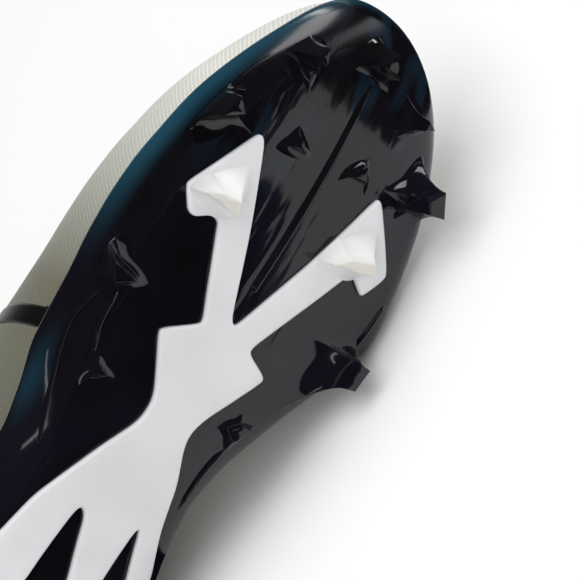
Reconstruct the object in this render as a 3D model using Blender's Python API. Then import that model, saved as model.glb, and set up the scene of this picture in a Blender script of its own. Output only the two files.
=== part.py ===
"""A moulded football cleat, right shoe, lying on its medial side.

The shoe is worked out standing, in millimetres: x from heel to toe, y toward the inner (medial) side,
z up from the tips of the main studs. At the end it is laid on its medial side, toe toward +X.
"""
import math

import bmesh
import bpy
from mathutils import Matrix, Vector

MM = 0.001
WELD = 0.00001

# Driving dimensions of the last and the shoe
SOLE_LENGTH = 278.0          # sole plate, heel to toe
BALL_WIDTH = 96.0            # sole plate at the ball of the foot
INSTEP_HEIGHT = 92.0         # ridge of the last at the top of the throat, above the plate
ANKLE_HEIGHT = 58.0          # topline under the ankle, above the plate
HEEL_HEIGHT = 80.0           # topline at the back of the heel, above the plate
TOE_SPRING = 13.0
ARCH_RISE = 5.0
STUD_HEIGHT = 11.0           # main studs, below the plate
FEATHER_HEIGHT = 12.0        # where the last is widest, above the plate
HEEL_BULGE = 3.0
HEEL_HOOK = 7.0

# Walls and fits
UPPER_WALL = 1.8
PLATE_WALL = 2.2
SPINE_WALL = 1.3
INSOLE_THICKNESS = 3.0
TONGUE_THICKNESS = 3.5
GAP = 0.3                    # between pieces that touch
TONGUE_GAP = 1.7
STUD_ROOT = 1.0              # how deep a stud's root sits in what carries it

# Throat, tongue and lacing
THROAT_FRONT = 190.0         # from the heel
THROAT_HALF_WIDTH = 10.0
THROAT_ROUND = 16.0          # length of the throat's rounded front end
TONGUE_OVERLAP = 7.0         # under each side of the throat
TONGUE_TIP = 100.0           # from the heel
LACE_WIDTH = 6.0
LACE_THICKNESS = 1.6
LACE_INSET = 6.0             # eyelet row from the throat's edge
LACE_FRONT = 182.0           # lowest eyelets, from the heel
LACE_BACK = 126.0            # top eyelets
LACE_CROSSINGS = 5
LACE_CLEARANCE = 1.1         # over the throat's edge, along a bar that spans it

# The last's plan and crown: x along, outer and inner edge, ridge line, crown height of the section
# shares of SOLE_LENGTH, BALL_WIDTH, BALL_WIDTH, BALL_WIDTH, INSTEP_HEIGHT
LAST = (
    #  along  lateral medial  ridge  crown
    (0.000, 0.345, 0.265, -0.040, 1.50),
    (0.090, 0.362, 0.282, -0.045, 1.50),
    (0.180, 0.368, 0.285, -0.045, 1.48),
    (0.290, 0.350, 0.285, -0.035, 1.34),
    (0.370, 0.332, 0.288, -0.025, 1.17),
    (0.420, 0.326, 0.278, -0.015, 1.03),
    (0.465, 0.318, 0.272, 0.000, 0.93),
    (0.515, 0.346, 0.300, 0.020, 0.84),
    (0.570, 0.386, 0.372, 0.045, 0.74),
    (0.620, 0.391, 0.458, 0.065, 0.66),
    (0.665, 0.391, 0.545, 0.085, 0.60),
    (0.710, 0.383, 0.585, 0.100, 0.56),
    (0.760, 0.356, 0.588, 0.115, 0.52),
    (0.805, 0.310, 0.583, 0.130, 0.49),
    (0.855, 0.250, 0.570, 0.148, 0.455),
    (0.900, 0.184, 0.566, 0.165, 0.445),
    (0.950, 0.108, 0.566, 0.182, 0.460),
    (1.000, 0.036, 0.562, 0.200, 0.480),
)
TOE_ROUND = 0.180            # share of the length taken by the toe's rounding
HEEL_ROUND = 0.125
TOE_POWER = 2.2
HEEL_POWER = 2.25
BOTTOM_POWER = 5.0           # squareness of the section under its widest line
CROWN_POWER = 2.25           # the same above it, along the sides
TOE_CROWN_POWER = 1.90       # and over the toe
TOE_SPRING_START = 0.70      # share of the length
ARCH_BACK = 0.20
ARCH_FRONT = 0.60

# Height of the plate's rim above its bottom, along each side: shares of SOLE_LENGTH and FEATHER_HEIGHT
RIM = (
    # along lateral medial
    (0.00, 0.95, 0.95),
    (0.12, 0.80, 0.80),
    (0.30, 0.85, 0.80),
    (0.45, 0.92, 0.75),
    (0.55, 0.70, 0.62),
    (0.65, 0.50, 0.55),
    (0.85, 0.48, 0.58),
    (0.94, 0.54, 0.68),
    (1.00, 0.70, 0.70),
)

# Topline of the collar: shares of SOLE_LENGTH; the height runs from ANKLE_HEIGHT (0) to HEEL_HEIGHT (1)
COLLAR = (
    # along height
    (0.00, 1.00),
    (0.05, 0.94),
    (0.11, 0.55),
    (0.18, 0.10),
    (0.24, 0.00),
    (0.31, 0.28),
    (0.38, 0.95),
    (0.44, 1.90),
)

SIDE_STATIONS = (0.125, 0.170, 0.215, 0.260, 0.305, 0.345, 0.385, 0.420, 0.455, 0.495, 0.540, 0.585,
                 0.625, 0.650, 0.668, 0.680, 0.710, 0.745, 0.785, 0.820)
FAN_STEPS = 5                # sections in each quarter of the toe's and heel's rounding
SOLE_ROWS = (0.0, 0.30, 0.50, 0.62, 0.74, 0.87, 1.0)   # from the middle of the sole to the rim
MARGIN_INDEX = 2             # where the upper's lasting margin starts
INSOLE_INDEX = 3
WALL_COUNT = 8               # from the rim up to the ridge or topline

# The spine's outline in plan: x along and y toward the medial side, shares of SOLE_LENGTH and BALL_WIDTH
SPINE = (
    (0.838, -0.075), (0.769, -0.219), (0.763, -0.221), (0.736, -0.178), (0.748, -0.112), (0.744, -0.085),
    (0.736, -0.078), (0.678, -0.025), (0.650, 0.003), (0.645, 0.000), (0.626, -0.106), (0.621, -0.112),
    (0.561, -0.035), (0.545, -0.034), (0.530, -0.044), (0.495, -0.107), (0.423, -0.221), (0.350, -0.296),
    (0.312, -0.298), (0.300, -0.270), (0.312, -0.205), (0.337, -0.147), (0.426, -0.086), (0.431, -0.072),
    (0.423, -0.049), (0.356, -0.012), (0.225, -0.025), (0.205, 0.005), (0.225, 0.040), (0.370, 0.091),
    (0.431, 0.124), (0.432, 0.136), (0.381, 0.170), (0.320, 0.198), (0.303, 0.226), (0.314, 0.256),
    (0.340, 0.262), (0.393, 0.254), (0.438, 0.208), (0.486, 0.179), (0.526, 0.133), (0.543, 0.130),
    (0.561, 0.153), (0.614, 0.262), (0.620, 0.270), (0.625, 0.258), (0.638, 0.189), (0.645, 0.189),
    (0.699, 0.288), (0.748, 0.379), (0.753, 0.390), (0.750, 0.406), (0.738, 0.448), (0.738, 0.459),
    (0.763, 0.511), (0.770, 0.507), (0.829, 0.400), (0.833, 0.385), (0.829, 0.372), (0.747, 0.250),
    (0.708, 0.188), (0.664, 0.120), (0.657, 0.104), (0.661, 0.087), (0.690, 0.064), (0.750, 0.021),
    (0.836, -0.045), (0.841, -0.060),
)

# Studs: place of the tip, tip height above the ground, then its arms. Each arm is an angle from the toe
# toward the medial side, the reach of its root and of its tip, in millimetres
EDGE_STUDS = (
    ("lateral_toe", (0.938, -0.008), 6.5, ((50.0, 7.0, 2.6), (161.0, 13.0, 3.0), (239.0, 7.5, 2.7))),
    ("medial_toe", (0.958, 0.222), 8.0, ((11.0, 8.0, 4.0), (132.0, 11.0, 4.0), (226.0, 8.0, 3.4))),
    ("medial_fin", (0.920, 0.425), 9.5, ((95.0, 6.0, 1.8), (215.0, 9.0, 2.0), (316.0, 10.0, 2.0))),
    ("centre_medial", (0.847, 0.292), 9.5, ((18.0, 4.6, 2.0), (148.0, 7.2, 1.9), (233.0, 7.2, 2.4))),
    ("centre_lateral", (0.847, 0.060), 9.5, ((348.0, 5.4, 1.6), (110.0, 7.2, 2.4), (239.0, 7.4, 2.4))),
    ("lateral_front", (0.850, -0.212), 1.0, ((35.0, 8.5, 4.0), (111.0, 11.5, 2.0), (207.0, 19.0, 5.2))),
    ("lateral_ball", (0.656, -0.345), 0.0, ((0.0, 13.6, 4.5), (87.0, 13.3, 4.6), (182.0, 8.0, 2.8))),
    ("lateral_waist", (0.561, -0.236), 7.5, ((346.0, 7.8, 1.6), (89.0, 10.5, 2.2), (198.0, 7.8, 1.7))),
    ("medial_front", (0.850, 0.505), 1.0, ((356.0, 13.0, 4.6), (145.0, 12.0, 4.4), (258.0, 10.5, 3.0))),
    ("medial_ball", (0.662, 0.508), 0.0, ((13.0, 17.0, 3.8), (207.0, 16.0, 4.5), (292.0, 13.0, 4.0))),
    ("medial_waist", (0.563, 0.268), 7.5, ((63.0, 7.3, 3.0), (174.0, 7.6, 2.0), (256.0, 6.4, 2.4))),
    ("heel_lateral_front", (0.225, -0.270), 0.0, ((180.0, 14.0, 4.5), (0.0, 14.0, 4.0), (95.0, 9.0, 4.5))),
    ("heel_lateral_back", (0.085, -0.215), 0.0, ((165.0, 11.0, 4.5), (345.0, 14.0, 4.0), (75.0, 9.0, 4.5))),
    ("heel_medial_front", (0.225, 0.190), 0.0, ((180.0, 14.0, 4.5), (0.0, 14.0, 4.0), (265.0, 9.0, 4.5))),
    ("heel_medial_back", (0.085, 0.130), 0.0, ((195.0, 11.0, 4.5), (15.0, 14.0, 4.0), (285.0, 9.0, 4.5))),
)
SPINE_STUDS = (
    ("spine_lateral", (0.7650, -0.138), 0.5, ((28.0, 13.5, 3.6), (100.0, 7.8, 6.0), (268.0, 8.0, 7.0))),
    ("spine_medial", (0.762, 0.345), 0.5, ((30.0, 13.0, 4.0), (98.0, 7.6, 6.0), (250.0, 8.2, 7.0))),
)
STUD_VALLEY = 4.0            # radius of a stud's root between its arms
TIP_VALLEY = 1.6
ROOT_POWER = 2.6             # how hollow its sides are between the arms
TIP_POWER = 1.5
STUD_SIDES = 12
STUD_LEVELS = (0.0, 0.20, 0.55, 1.0)
STUD_FLARE = 2.3
ROOT_LIMIT = 0.94            # a root stays within this share of the last's half width
ROOT_CENTRE_LIMIT = 0.84

# Raised ribs on the plate: plan points, then width and height
RIBS = (
    ("centre_blade", ((0.700, 0.115), (0.925, 0.222)), 2.4, 1.6),
    ("waist_rib", ((0.536, 0.258), (0.505, 0.226), (0.462, 0.228)), 1.6, 1.6),
)

COLOURS = {
    "upper": (0.62, 0.61, 0.54, 1.0, 0.85),
    "tongue": (0.60, 0.59, 0.52, 1.0, 0.9),
    "insole": (0.10, 0.10, 0.11, 1.0, 0.9),
    "outsole": (0.008, 0.008, 0.012, 1.0, 0.12),
    "spine": (0.80, 0.81, 0.82, 1.0, 0.35),
    "lace": (0.65, 0.64, 0.58, 1.0, 0.8),
}


def table(rows, column, along):
    """Smooth value of one column of a table at a place along the shoe."""
    places = [row[0] for row in rows]
    values = [row[column] for row in rows]
    along = min(max(along, places[0]), places[-1])
    i = 0
    while i < len(places) - 2 and along > places[i + 1]:
        i += 1
    step = places[i + 1] - places[i]
    t = (along - places[i]) / step

    def slope(k):
        if k == 0 or k == len(places) - 1:
            j = min(k, len(places) - 2)
            return (values[j + 1] - values[j]) / (places[j + 1] - places[j])
        before = (values[k] - values[k - 1]) / (places[k] - places[k - 1])
        after = (values[k + 1] - values[k]) / (places[k + 1] - places[k])
        if before * after <= 0.0:
            return 0.0
        return 2.0 * before * after / (before + after)

    a, b = values[i], values[i + 1]
    m0, m1 = slope(i) * step, slope(i + 1) * step
    return ((2 * t ** 3 - 3 * t ** 2 + 1) * a + (t ** 3 - 2 * t ** 2 + t) * m0
            + (3 * t ** 2 - 2 * t ** 3) * b + (t ** 3 - t ** 2) * m1)


def ridge(x):
    return table(LAST, 3, x / SOLE_LENGTH) * BALL_WIDTH


def half_width(x, side):
    """From the ridge line to the last's edge, before the ends are rounded; side is -1 lateral, 1 medial."""
    edge = table(LAST, 1 if side < 0 else 2, x / SOLE_LENGTH) * BALL_WIDTH
    return edge - side * ridge(x)


def crown(x):
    return table(LAST, 4, x / SOLE_LENGTH) * INSTEP_HEIGHT


def rise(x):
    """Height of the last's bottom over the flat forefoot: toe spring and arch."""
    along = x / SOLE_LENGTH
    height = 0.0
    if along > TOE_SPRING_START:
        height += TOE_SPRING * ((along - TOE_SPRING_START) / (1.0 - TOE_SPRING_START)) ** 1.9
    if ARCH_BACK < along < ARCH_FRONT:
        height += ARCH_RISE * math.sin(math.pi * (along - ARCH_BACK) / (ARCH_FRONT - ARCH_BACK)) ** 2
    return height


def polar(angle, power):
    """Point of a unit superellipse in the direction of an angle."""
    c, s = abs(math.cos(angle)), abs(math.sin(angle))
    radius = (c ** power + s ** power) ** (-1.0 / power)
    return radius * c, radius * s


TOE_CENTRE = (1.0 - TOE_ROUND) * SOLE_LENGTH
HEEL_CENTRE = HEEL_ROUND * SOLE_LENGTH
LAST_BOTTOM = STUD_HEIGHT + PLATE_WALL + GAP


def column(kind, value, side):
    """One section: its point on the middle line, its edge point in plan, and how far round the toe it is."""
    if kind == "side":
        x = value
        return (x, ridge(x)), (x, ridge(x) + side * half_width(x, side)), 0.0
    if kind == "toe":
        across, along = polar(value, TOE_POWER)
        x = TOE_CENTRE + along * TOE_ROUND * SOLE_LENGTH
        edge = (x, ridge(x) + side * half_width(x, side) * across)
        return (TOE_CENTRE, ridge(TOE_CENTRE)), edge, value / (0.5 * math.pi)
    across, along = polar(value, HEEL_POWER)
    x = HEEL_CENTRE - along * HEEL_CENTRE
    edge = (x, ridge(x) + side * half_width(x, side) * across)
    return (HEEL_CENTRE, ridge(HEEL_CENTRE)), edge, 0.0


def heel_shear(x, height):
    """The counter's curve: out behind the heel, in again at the topline."""
    turn = 0.66 * HEEL_HEIGHT
    reach = 2.0 * HEEL_CENTRE
    if x >= reach:
        return 0.0
    fade = ((reach - x) / reach) ** 2
    if height < turn:
        return -HEEL_BULGE * math.sin(math.pi * height / turn) * fade
    return HEEL_HOOK * (1.0 - math.cos(0.5 * math.pi * (height - turn) / (HEEL_HEIGHT - turn))) * fade


def crown_power(toe_turn):
    return CROWN_POWER + (TOE_CROWN_POWER - CROWN_POWER) * math.sin(0.5 * math.pi * toe_turn) ** 2


def section_point(col, q):
    """Point of the last on a column: q is -1 under the middle, 0 at the widest line, 1 on the ridge."""
    spine_point, edge, toe_turn = col
    if q <= 0.0:
        down, out = polar((1.0 + q) * 0.5 * math.pi, BOTTOM_POWER)
        height = FEATHER_HEIGHT * (1.0 - down)
    else:
        out, up = polar(q * 0.5 * math.pi, crown_power(toe_turn))
        x = spine_point[0] + (edge[0] - spine_point[0]) * out
        height = FEATHER_HEIGHT + (crown(x) - FEATHER_HEIGHT) * up
    x = spine_point[0] + (edge[0] - spine_point[0]) * out
    y = spine_point[1] + (edge[1] - spine_point[1]) * out
    z = LAST_BOTTOM + rise(x) + height
    return Vector((x + heel_shear(x, height), y, z))


def q_at_height(col, height):
    """The q whose point lies at a height over the last's bottom."""
    spine_point, _, toe_turn = col
    if height < FEATHER_HEIGHT:
        down = 1.0 - height / FEATHER_HEIGHT
        out = (1.0 - down ** BOTTOM_POWER) ** (1.0 / BOTTOM_POWER)
        return math.atan2(out, down) / (0.5 * math.pi) - 1.0
    power = crown_power(toe_turn)
    up = min((height - FEATHER_HEIGHT) / (crown(spine_point[0]) - FEATHER_HEIGHT), 1.0)
    out = (1.0 - up ** power) ** (1.0 / power)
    return math.atan2(up, out) / (0.5 * math.pi)


def q_at_offset(col, offset):
    """The q on the crown whose point lies a distance beside the ridge."""
    spine_point, edge, toe_turn = col
    width = math.hypot(edge[0] - spine_point[0], edge[1] - spine_point[1])
    power = crown_power(toe_turn)
    out = min(offset / width, 1.0)
    up = (1.0 - out ** power) ** (1.0 / power)
    return math.atan2(up, out) / (0.5 * math.pi)


def throat_half(x):
    """Half the throat's opening at a section."""
    into = THROAT_FRONT - x
    if into <= 0.0:
        return 0.0
    if into >= THROAT_ROUND:
        return THROAT_HALF_WIDTH
    return THROAT_HALF_WIDTH * math.sqrt(1.0 - (1.0 - into / THROAT_ROUND) ** 2)


def q_top(col):
    """Where the upper ends on a section: the ridge, the throat's edge or the topline."""
    x = col[0][0]
    half = throat_half(x)
    if half == 0.0:
        return 1.0
    place = min(col[1][0], x) / SOLE_LENGTH
    collar = ANKLE_HEIGHT + (HEEL_HEIGHT - ANKLE_HEIGHT) * table(COLLAR, 1, place)
    return min(q_at_height(col, collar), q_at_offset(col, half))


def q_rim(col, side):
    share = table(RIM, 1 if side < 0 else 2, col[1][0] / SOLE_LENGTH)
    return q_at_height(col, share * FEATHER_HEIGHT)


def all_columns():
    """Sections right round the shoe: heel back, lateral side, toe, medial side."""
    columns = []
    for side in (-1, 1):
        half = []
        for k in range(FAN_STEPS):
            half.append(("heel", 0.5 * math.pi * (1.0 - k / FAN_STEPS)))
        half += [("side", share * SOLE_LENGTH) for share in SIDE_STATIONS]
        for k in range(1, FAN_STEPS + 1):
            half.append(("toe", 0.5 * math.pi * k / FAN_STEPS))
        if side > 0:
            half = half[1:-1][::-1]
        columns += [(column(kind, value, side), side) for kind, value in half]
    return columns


def last_grid():
    """Points of the last's surface and their outward normals, by column and row."""
    points = []
    for col, side in all_columns():
        rim, top = q_rim(col, side), q_top(col)
        rows = [-1.0 + (rim + 1.0) * share for share in SOLE_ROWS]
        rows += [rim + (top - rim) * k / WALL_COUNT for k in range(1, WALL_COUNT + 1)]
        points.append([section_point(col, q) for q in rows])
    count, depth = len(points), len(points[0])
    normals = {}
    for k in range(count):
        for j in range(depth - 1):
            a, b = points[k][j], points[(k + 1) % count][j]
            c, d = points[(k + 1) % count][j + 1], points[k][j + 1]
            face = (c - a).cross(d - b)
            for corner in (a, b, c, d):
                key = point_key(corner)
                normals[key] = normals.get(key, Vector((0.0, 0.0, 0.0))) + face
    directions = []
    for line in points:
        directions.append([normals[point_key(p)].normalized() for p in line])
    return points, directions


def point_key(point):
    return tuple(round(value, 3) for value in point)


def shell(name, first, last, inner, outer, grid):
    """A closed wall over rows first to last of the last's grid, between two offsets from it."""
    points, directions = grid
    bm = bmesh.new()
    count = len(points)
    layers = []
    for offset in (inner, outer):
        layers.append([[bm.verts.new((points[k][j] + directions[k][j] * offset) * MM)
                        for j in range(first, last + 1)] for k in range(count)])
    depth = last - first
    low, high = layers
    edges = {}
    for k in range(count):
        n = (k + 1) % count
        for j in range(depth):
            bm.faces.new((high[k][j], high[k][j + 1], high[n][j + 1], high[n][j]))
            bm.faces.new((low[n][j], low[n][j + 1], low[k][j + 1], low[k][j]))
        for j in (0, depth):
            place = frozenset(point_key(points[i][first + j]) for i in (k, n))
            edges.setdefault(place, []).append((low[k][j], low[n][j], high[n][j], high[k][j]))
    for place, walls in edges.items():
        if len(place) == 2 and len(walls) == 1:
            bm.faces.new(walls[0])
    bmesh.ops.remove_doubles(bm, verts=bm.verts, dist=WELD)
    bmesh.ops.recalc_face_normals(bm, faces=bm.faces)
    bmesh.ops.triangulate(bm, faces=bm.faces)
    return finish_mesh(name, bm)


def finish_mesh(name, bm):
    mesh = bpy.data.meshes.new(name)
    bm.to_mesh(mesh)
    bm.free()
    obj = bpy.data.objects.new(name, mesh)
    bpy.context.scene.collection.objects.link(obj)
    return obj


def boolean(target, other, operation):
    """Applies a union, cut or intersection with another object and removes that object."""
    modifier = target.modifiers.new("join", "BOOLEAN")
    modifier.operation = operation
    modifier.object = other
    modifier.solver = "EXACT"
    bpy.context.view_layer.update()
    evaluated = target.evaluated_get(bpy.context.evaluated_depsgraph_get())
    mesh = bpy.data.meshes.new_from_object(evaluated)
    bm = bmesh.new()
    bm.from_mesh(mesh)
    bmesh.ops.remove_doubles(bm, verts=bm.verts, dist=WELD)
    bmesh.ops.dissolve_degenerate(bm, edges=bm.edges, dist=WELD)
    bmesh.ops.triangulate(bm, faces=bm.faces)
    bm.to_mesh(mesh)
    bm.free()
    target.modifiers.clear()
    old = target.data
    target.data = mesh
    bpy.data.meshes.remove(old)
    bpy.data.objects.remove(other)


def sole_point(x, y, offset):
    """Point of the sole's underside at a plan position, an offset outward from the last."""
    reach = edge_share(x, y)
    height = FEATHER_HEIGHT * (1.0 - (1.0 - min(reach, 0.999) ** BOTTOM_POWER) ** (1.0 / BOTTOM_POWER))
    return Vector((x, y, LAST_BOTTOM + rise(x) + height - offset))


def edge_share(x, y):
    """How far out a plan position lies, from 0 on the middle line to 1 on the last's edge."""
    width = half_width(x, -1 if y < ridge(x) else 1)
    if x > TOE_CENTRE:
        along, power = (x - TOE_CENTRE) / (TOE_ROUND * SOLE_LENGTH), TOE_POWER
    elif x < HEEL_CENTRE:
        along, power = (HEEL_CENTRE - x) / HEEL_CENTRE, HEEL_POWER
    else:
        return abs(y - ridge(x)) / width
    across = abs(y - ridge(x)) / width
    return (along ** power + across ** power) ** (1.0 / power)


def stud_radius(angle, arms, valley, column_index, power):
    """Radius of a stud's star-shaped outline in a direction: sharp at its arms, hollow between them."""
    heads = sorted((math.radians(arm[0]) % (2.0 * math.pi), arm[column_index]) for arm in arms)
    for i, (start, reach) in enumerate(heads):
        end, next_reach = heads[(i + 1) % len(heads)]
        span = (end - start) % (2.0 * math.pi)
        t = ((angle - start) % (2.0 * math.pi)) / span
        if t <= 1.0:
            break
    return valley + (reach - valley) * (1.0 - t) ** power + (next_reach - valley) * t ** power


def stud_angles(arms):
    """Directions for a stud's outline: every arm's own, and as many between them as the sides allow."""
    heads = sorted(math.radians(arm[0]) % (2.0 * math.pi) for arm in arms)
    angles = []
    steps = STUD_SIDES // len(heads)
    for i, start in enumerate(heads):
        end = heads[(i + 1) % len(heads)]
        if end <= start:
            end += 2.0 * math.pi
        angles += [start + (end - start) * k / steps for k in range(steps)]
    return angles


def root_point(cx, cy, angle, radius, carrier):
    """Where a stud's outline meets the sole in a direction, kept off the sole's turned-up edge."""
    x, y = cx + radius * math.cos(angle), cy + radius * math.sin(angle)
    while edge_share(x, y) > ROOT_LIMIT:
        x += (cx - x) * 0.04
        y += (ridge(cx) - y) * 0.04
    return sole_point(x, y, carrier - STUD_ROOT)


def stud(name, place, tip_height, arms, carrier):
    """A moulded stud: a small flat tip with arms that sweep down into what carries it."""
    cx, cy = place[0] * SOLE_LENGTH, place[1] * BALL_WIDTH
    root_y = cy
    while edge_share(cx, root_y) > ROOT_CENTRE_LIMIT:
        root_y += (ridge(cx) - root_y) * 0.04
    angles = stud_angles(arms)
    bm = bmesh.new()
    rings = []
    for level in STUD_LEVELS:
        inward = 1.0 - (1.0 - level) ** STUD_FLARE
        ring = []
        for angle in angles:
            foot = root_point(cx, root_y, angle, stud_radius(angle, arms, STUD_VALLEY, 1, ROOT_POWER), carrier)
            reach = stud_radius(angle, arms, TIP_VALLEY, 2, TIP_POWER)
            x = foot.x + (cx + reach * math.cos(angle) - foot.x) * inward
            y = foot.y + (cy + reach * math.sin(angle) - foot.y) * inward
            ring.append(bm.verts.new(Vector((x, y, foot.z + (tip_height - foot.z) * level)) * MM))
        rings.append(ring)
    count = len(angles)
    for low, high in zip(rings, rings[1:]):
        for k in range(count):
            n = (k + 1) % count
            bm.faces.new((low[k], high[k], high[n], low[n]))
    bm.faces.new(rings[-1])
    centre = bm.verts.new(sum((vert.co for vert in rings[0]), Vector()) / count)
    for k in range(count):
        bm.faces.new((rings[0][k], rings[0][(k + 1) % count], centre))
    bmesh.ops.recalc_face_normals(bm, faces=bm.faces)
    bmesh.ops.triangulate(bm, faces=bm.faces)
    return finish_mesh(name, bm)


def rib(name, line, width, height, carrier):
    """A low raised rib along a plan line, narrower at its crest."""
    path = [Vector((a * SOLE_LENGTH, b * BALL_WIDTH, 0.0)) for a, b in line]
    path = [path[0].lerp(path[1], t) for t in (0.0, 0.5)] + path[1:] if len(path) == 2 else path
    bm = bmesh.new()
    rings = []
    for i, point in enumerate(path):
        along = (path[min(i + 1, len(path) - 1)] - path[max(i - 1, 0)]).normalized()
        side = Vector((-along.y, along.x, 0.0))
        taper = 0.35 if i == len(path) - 1 else 1.0
        ring = []
        for across, drop in ((-0.5, -STUD_ROOT), (-0.28, height), (0.28, height), (0.5, -STUD_ROOT)):
            p = point + side * (across * width * taper)
            ring.append(bm.verts.new(sole_point(p.x, p.y, carrier + drop * (taper if drop > 0 else 1.0)) * MM))
        rings.append(ring)
    for low, high in zip(rings, rings[1:]):
        for k in range(4):
            n = (k + 1) % 4
            bm.faces.new((low[k], low[n], high[n], high[k]))
    bm.faces.new(rings[0])
    bm.faces.new(rings[-1][::-1])
    bmesh.ops.recalc_face_normals(bm, faces=bm.faces)
    bmesh.ops.triangulate(bm, faces=bm.faces)
    return finish_mesh(name, bm)


def make_upper(grid):
    top = len(SOLE_ROWS) - 1 + WALL_COUNT
    return shell("upper", MARGIN_INDEX, top, -UPPER_WALL, 0.0, grid)


def make_insole(grid):
    top = -UPPER_WALL - GAP
    return shell("insole", 0, INSOLE_INDEX, top - INSOLE_THICKNESS, top, grid)


def make_outsole(grid):
    plate_outer = GAP + PLATE_WALL
    plate = shell("outsole", 0, len(SOLE_ROWS) - 1, GAP, plate_outer, grid)
    for name, place, height, arms in EDGE_STUDS:
        boolean(plate, stud(name, place, height, arms, plate_outer), "UNION")
    for name, line, width, height in RIBS:
        boolean(plate, rib(name, line, width, height, plate_outer), "UNION")
    return plate


def make_spine(grid):
    inner = 2.0 * GAP + PLATE_WALL
    outer = inner + SPINE_WALL
    layer = shell("spine", 0, len(SOLE_ROWS) - 1, inner, outer, grid)
    bm = bmesh.new()
    low, high = 0.5 * STUD_HEIGHT, LAST_BOTTOM + FEATHER_HEIGHT
    outline = [(a * SOLE_LENGTH, b * BALL_WIDTH) for a, b in SPINE]
    floor = [bm.verts.new(Vector((x, y, low)) * MM) for x, y in outline]
    bottom = bm.faces.new(floor)
    lifted = bmesh.ops.extrude_face_region(bm, geom=[bottom])
    raised = [item for item in lifted["geom"] if isinstance(item, bmesh.types.BMVert)]
    bmesh.ops.translate(bm, verts=raised, vec=(0.0, 0.0, (high - low) * MM))
    bmesh.ops.triangulate(bm, faces=bm.faces)
    bmesh.ops.recalc_face_normals(bm, faces=bm.faces)
    boolean(layer, finish_mesh("spine_cutter", bm), "INTERSECT")
    for name, place, height, arms in SPINE_STUDS:
        boolean(layer, stud(name, place, height, arms, outer), "UNION")
    return layer


def crown_point(x, beside, offset):
    """Point over the instep at a section: a distance beside the ridge, an offset from the last."""
    side = -1 if beside < 0.0 else 1
    col = column("side", x, side)
    q = q_at_offset(col, abs(beside))
    step = 0.002
    here = section_point(col, q)
    below = section_point(col, q - step)
    ahead = section_point(column("side", x + 0.5, side), q)
    normal = (ahead - section_point(column("side", x - 0.5, side), q)).cross(below - here)
    normal.normalize()
    if normal.z < 0.0:
        normal.negate()
    return here + normal * offset


def instep_sheet(name, ends, half, inner, outer, stations, steps):
    """A closed sheet along the instep between two offsets from the last, a half width each side."""
    bm = bmesh.new()
    layers = []
    for offset in (inner, outer):
        sheet = []
        for i in range(stations + 1):
            x = ends[0] + (ends[1] - ends[0]) * i / stations
            sheet.append([bm.verts.new(crown_point(x, half * (2.0 * k / steps - 1.0), offset) * MM)
                          for k in range(steps + 1)])
        layers.append(sheet)
    low, high = layers
    for i in range(stations):
        for k in range(steps):
            bm.faces.new((high[i][k], high[i + 1][k], high[i + 1][k + 1], high[i][k + 1]))
            bm.faces.new((low[i][k], low[i][k + 1], low[i + 1][k + 1], low[i + 1][k]))
        for k in (0, steps):
            bm.faces.new((low[i][k], low[i + 1][k], high[i + 1][k], high[i][k]))
    for i in (0, stations):
        for k in range(steps):
            bm.faces.new((low[i][k], low[i][k + 1], high[i][k + 1], high[i][k]))
    bmesh.ops.recalc_face_normals(bm, faces=bm.faces)
    bmesh.ops.triangulate(bm, faces=bm.faces)
    return finish_mesh(name, bm)


def make_tongue():
    """A padded sheet under the throat, from inside the vamp to above the top eyelets."""
    outer = -UPPER_WALL - TONGUE_GAP
    return instep_sheet("tongue", (THROAT_FRONT + 0.5 * THROAT_ROUND, TONGUE_TIP),
                        THROAT_HALF_WIDTH + TONGUE_OVERLAP, outer - TONGUE_THICKNESS, outer, 10, 6)


def lace_path(name, row, side):
    """An upright block over one bar's plan, from an eyelet to the next one on the other side."""
    reach = THROAT_HALF_WIDTH + LACE_INSET
    pitch = (LACE_BACK - LACE_FRONT) / LACE_CROSSINGS
    x = LACE_FRONT + pitch * row
    start = Vector((x, ridge(x) + side * reach, 0.0))
    end = Vector((x + pitch, ridge(x + pitch) - side * reach, 0.0))
    along = (end - start).normalized() * (0.5 * LACE_WIDTH)
    across = Vector((-along.y, along.x, 0.0))
    spread = 1.0 + 0.1 * row + 0.05 * side
    bm = bmesh.new()
    rings = []
    for z in (LAST_BOTTOM - spread, LAST_BOTTOM + 2.0 * INSTEP_HEIGHT + spread):
        up = Vector((0.0, 0.0, z))
        corners = (start - along - across, start - along + across, end + along + across, end + along - across)
        rings.append([bm.verts.new((corner + up) * MM) for corner in corners])
    low, high = rings
    for k in range(4):
        bm.faces.new((low[k], low[(k + 1) % 4], high[(k + 1) % 4], high[k]))
    bm.faces.new(low)
    bm.faces.new(high[::-1])
    bmesh.ops.recalc_face_normals(bm, faces=bm.faces)
    return finish_mesh(name, bm)


def make_lace():
    """The crossed bars of the lace, one joined net that lies over the throat."""
    paths = lace_path("lace_paths", 0, -1)
    for row in range(LACE_CROSSINGS):
        for side in (-1, 1):
            if row or side > 0:
                boolean(paths, lace_path("lace_path", row, side), "UNION")
    ends = (LACE_FRONT + LACE_WIDTH, LACE_BACK - LACE_WIDTH)
    half = THROAT_HALF_WIDTH + LACE_INSET + 0.5 * LACE_WIDTH
    lace = instep_sheet("lace", ends, half, LACE_CLEARANCE, LACE_CLEARANCE + LACE_THICKNESS, 5, 8)
    boolean(lace, paths, "INTERSECT")
    return lace


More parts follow.
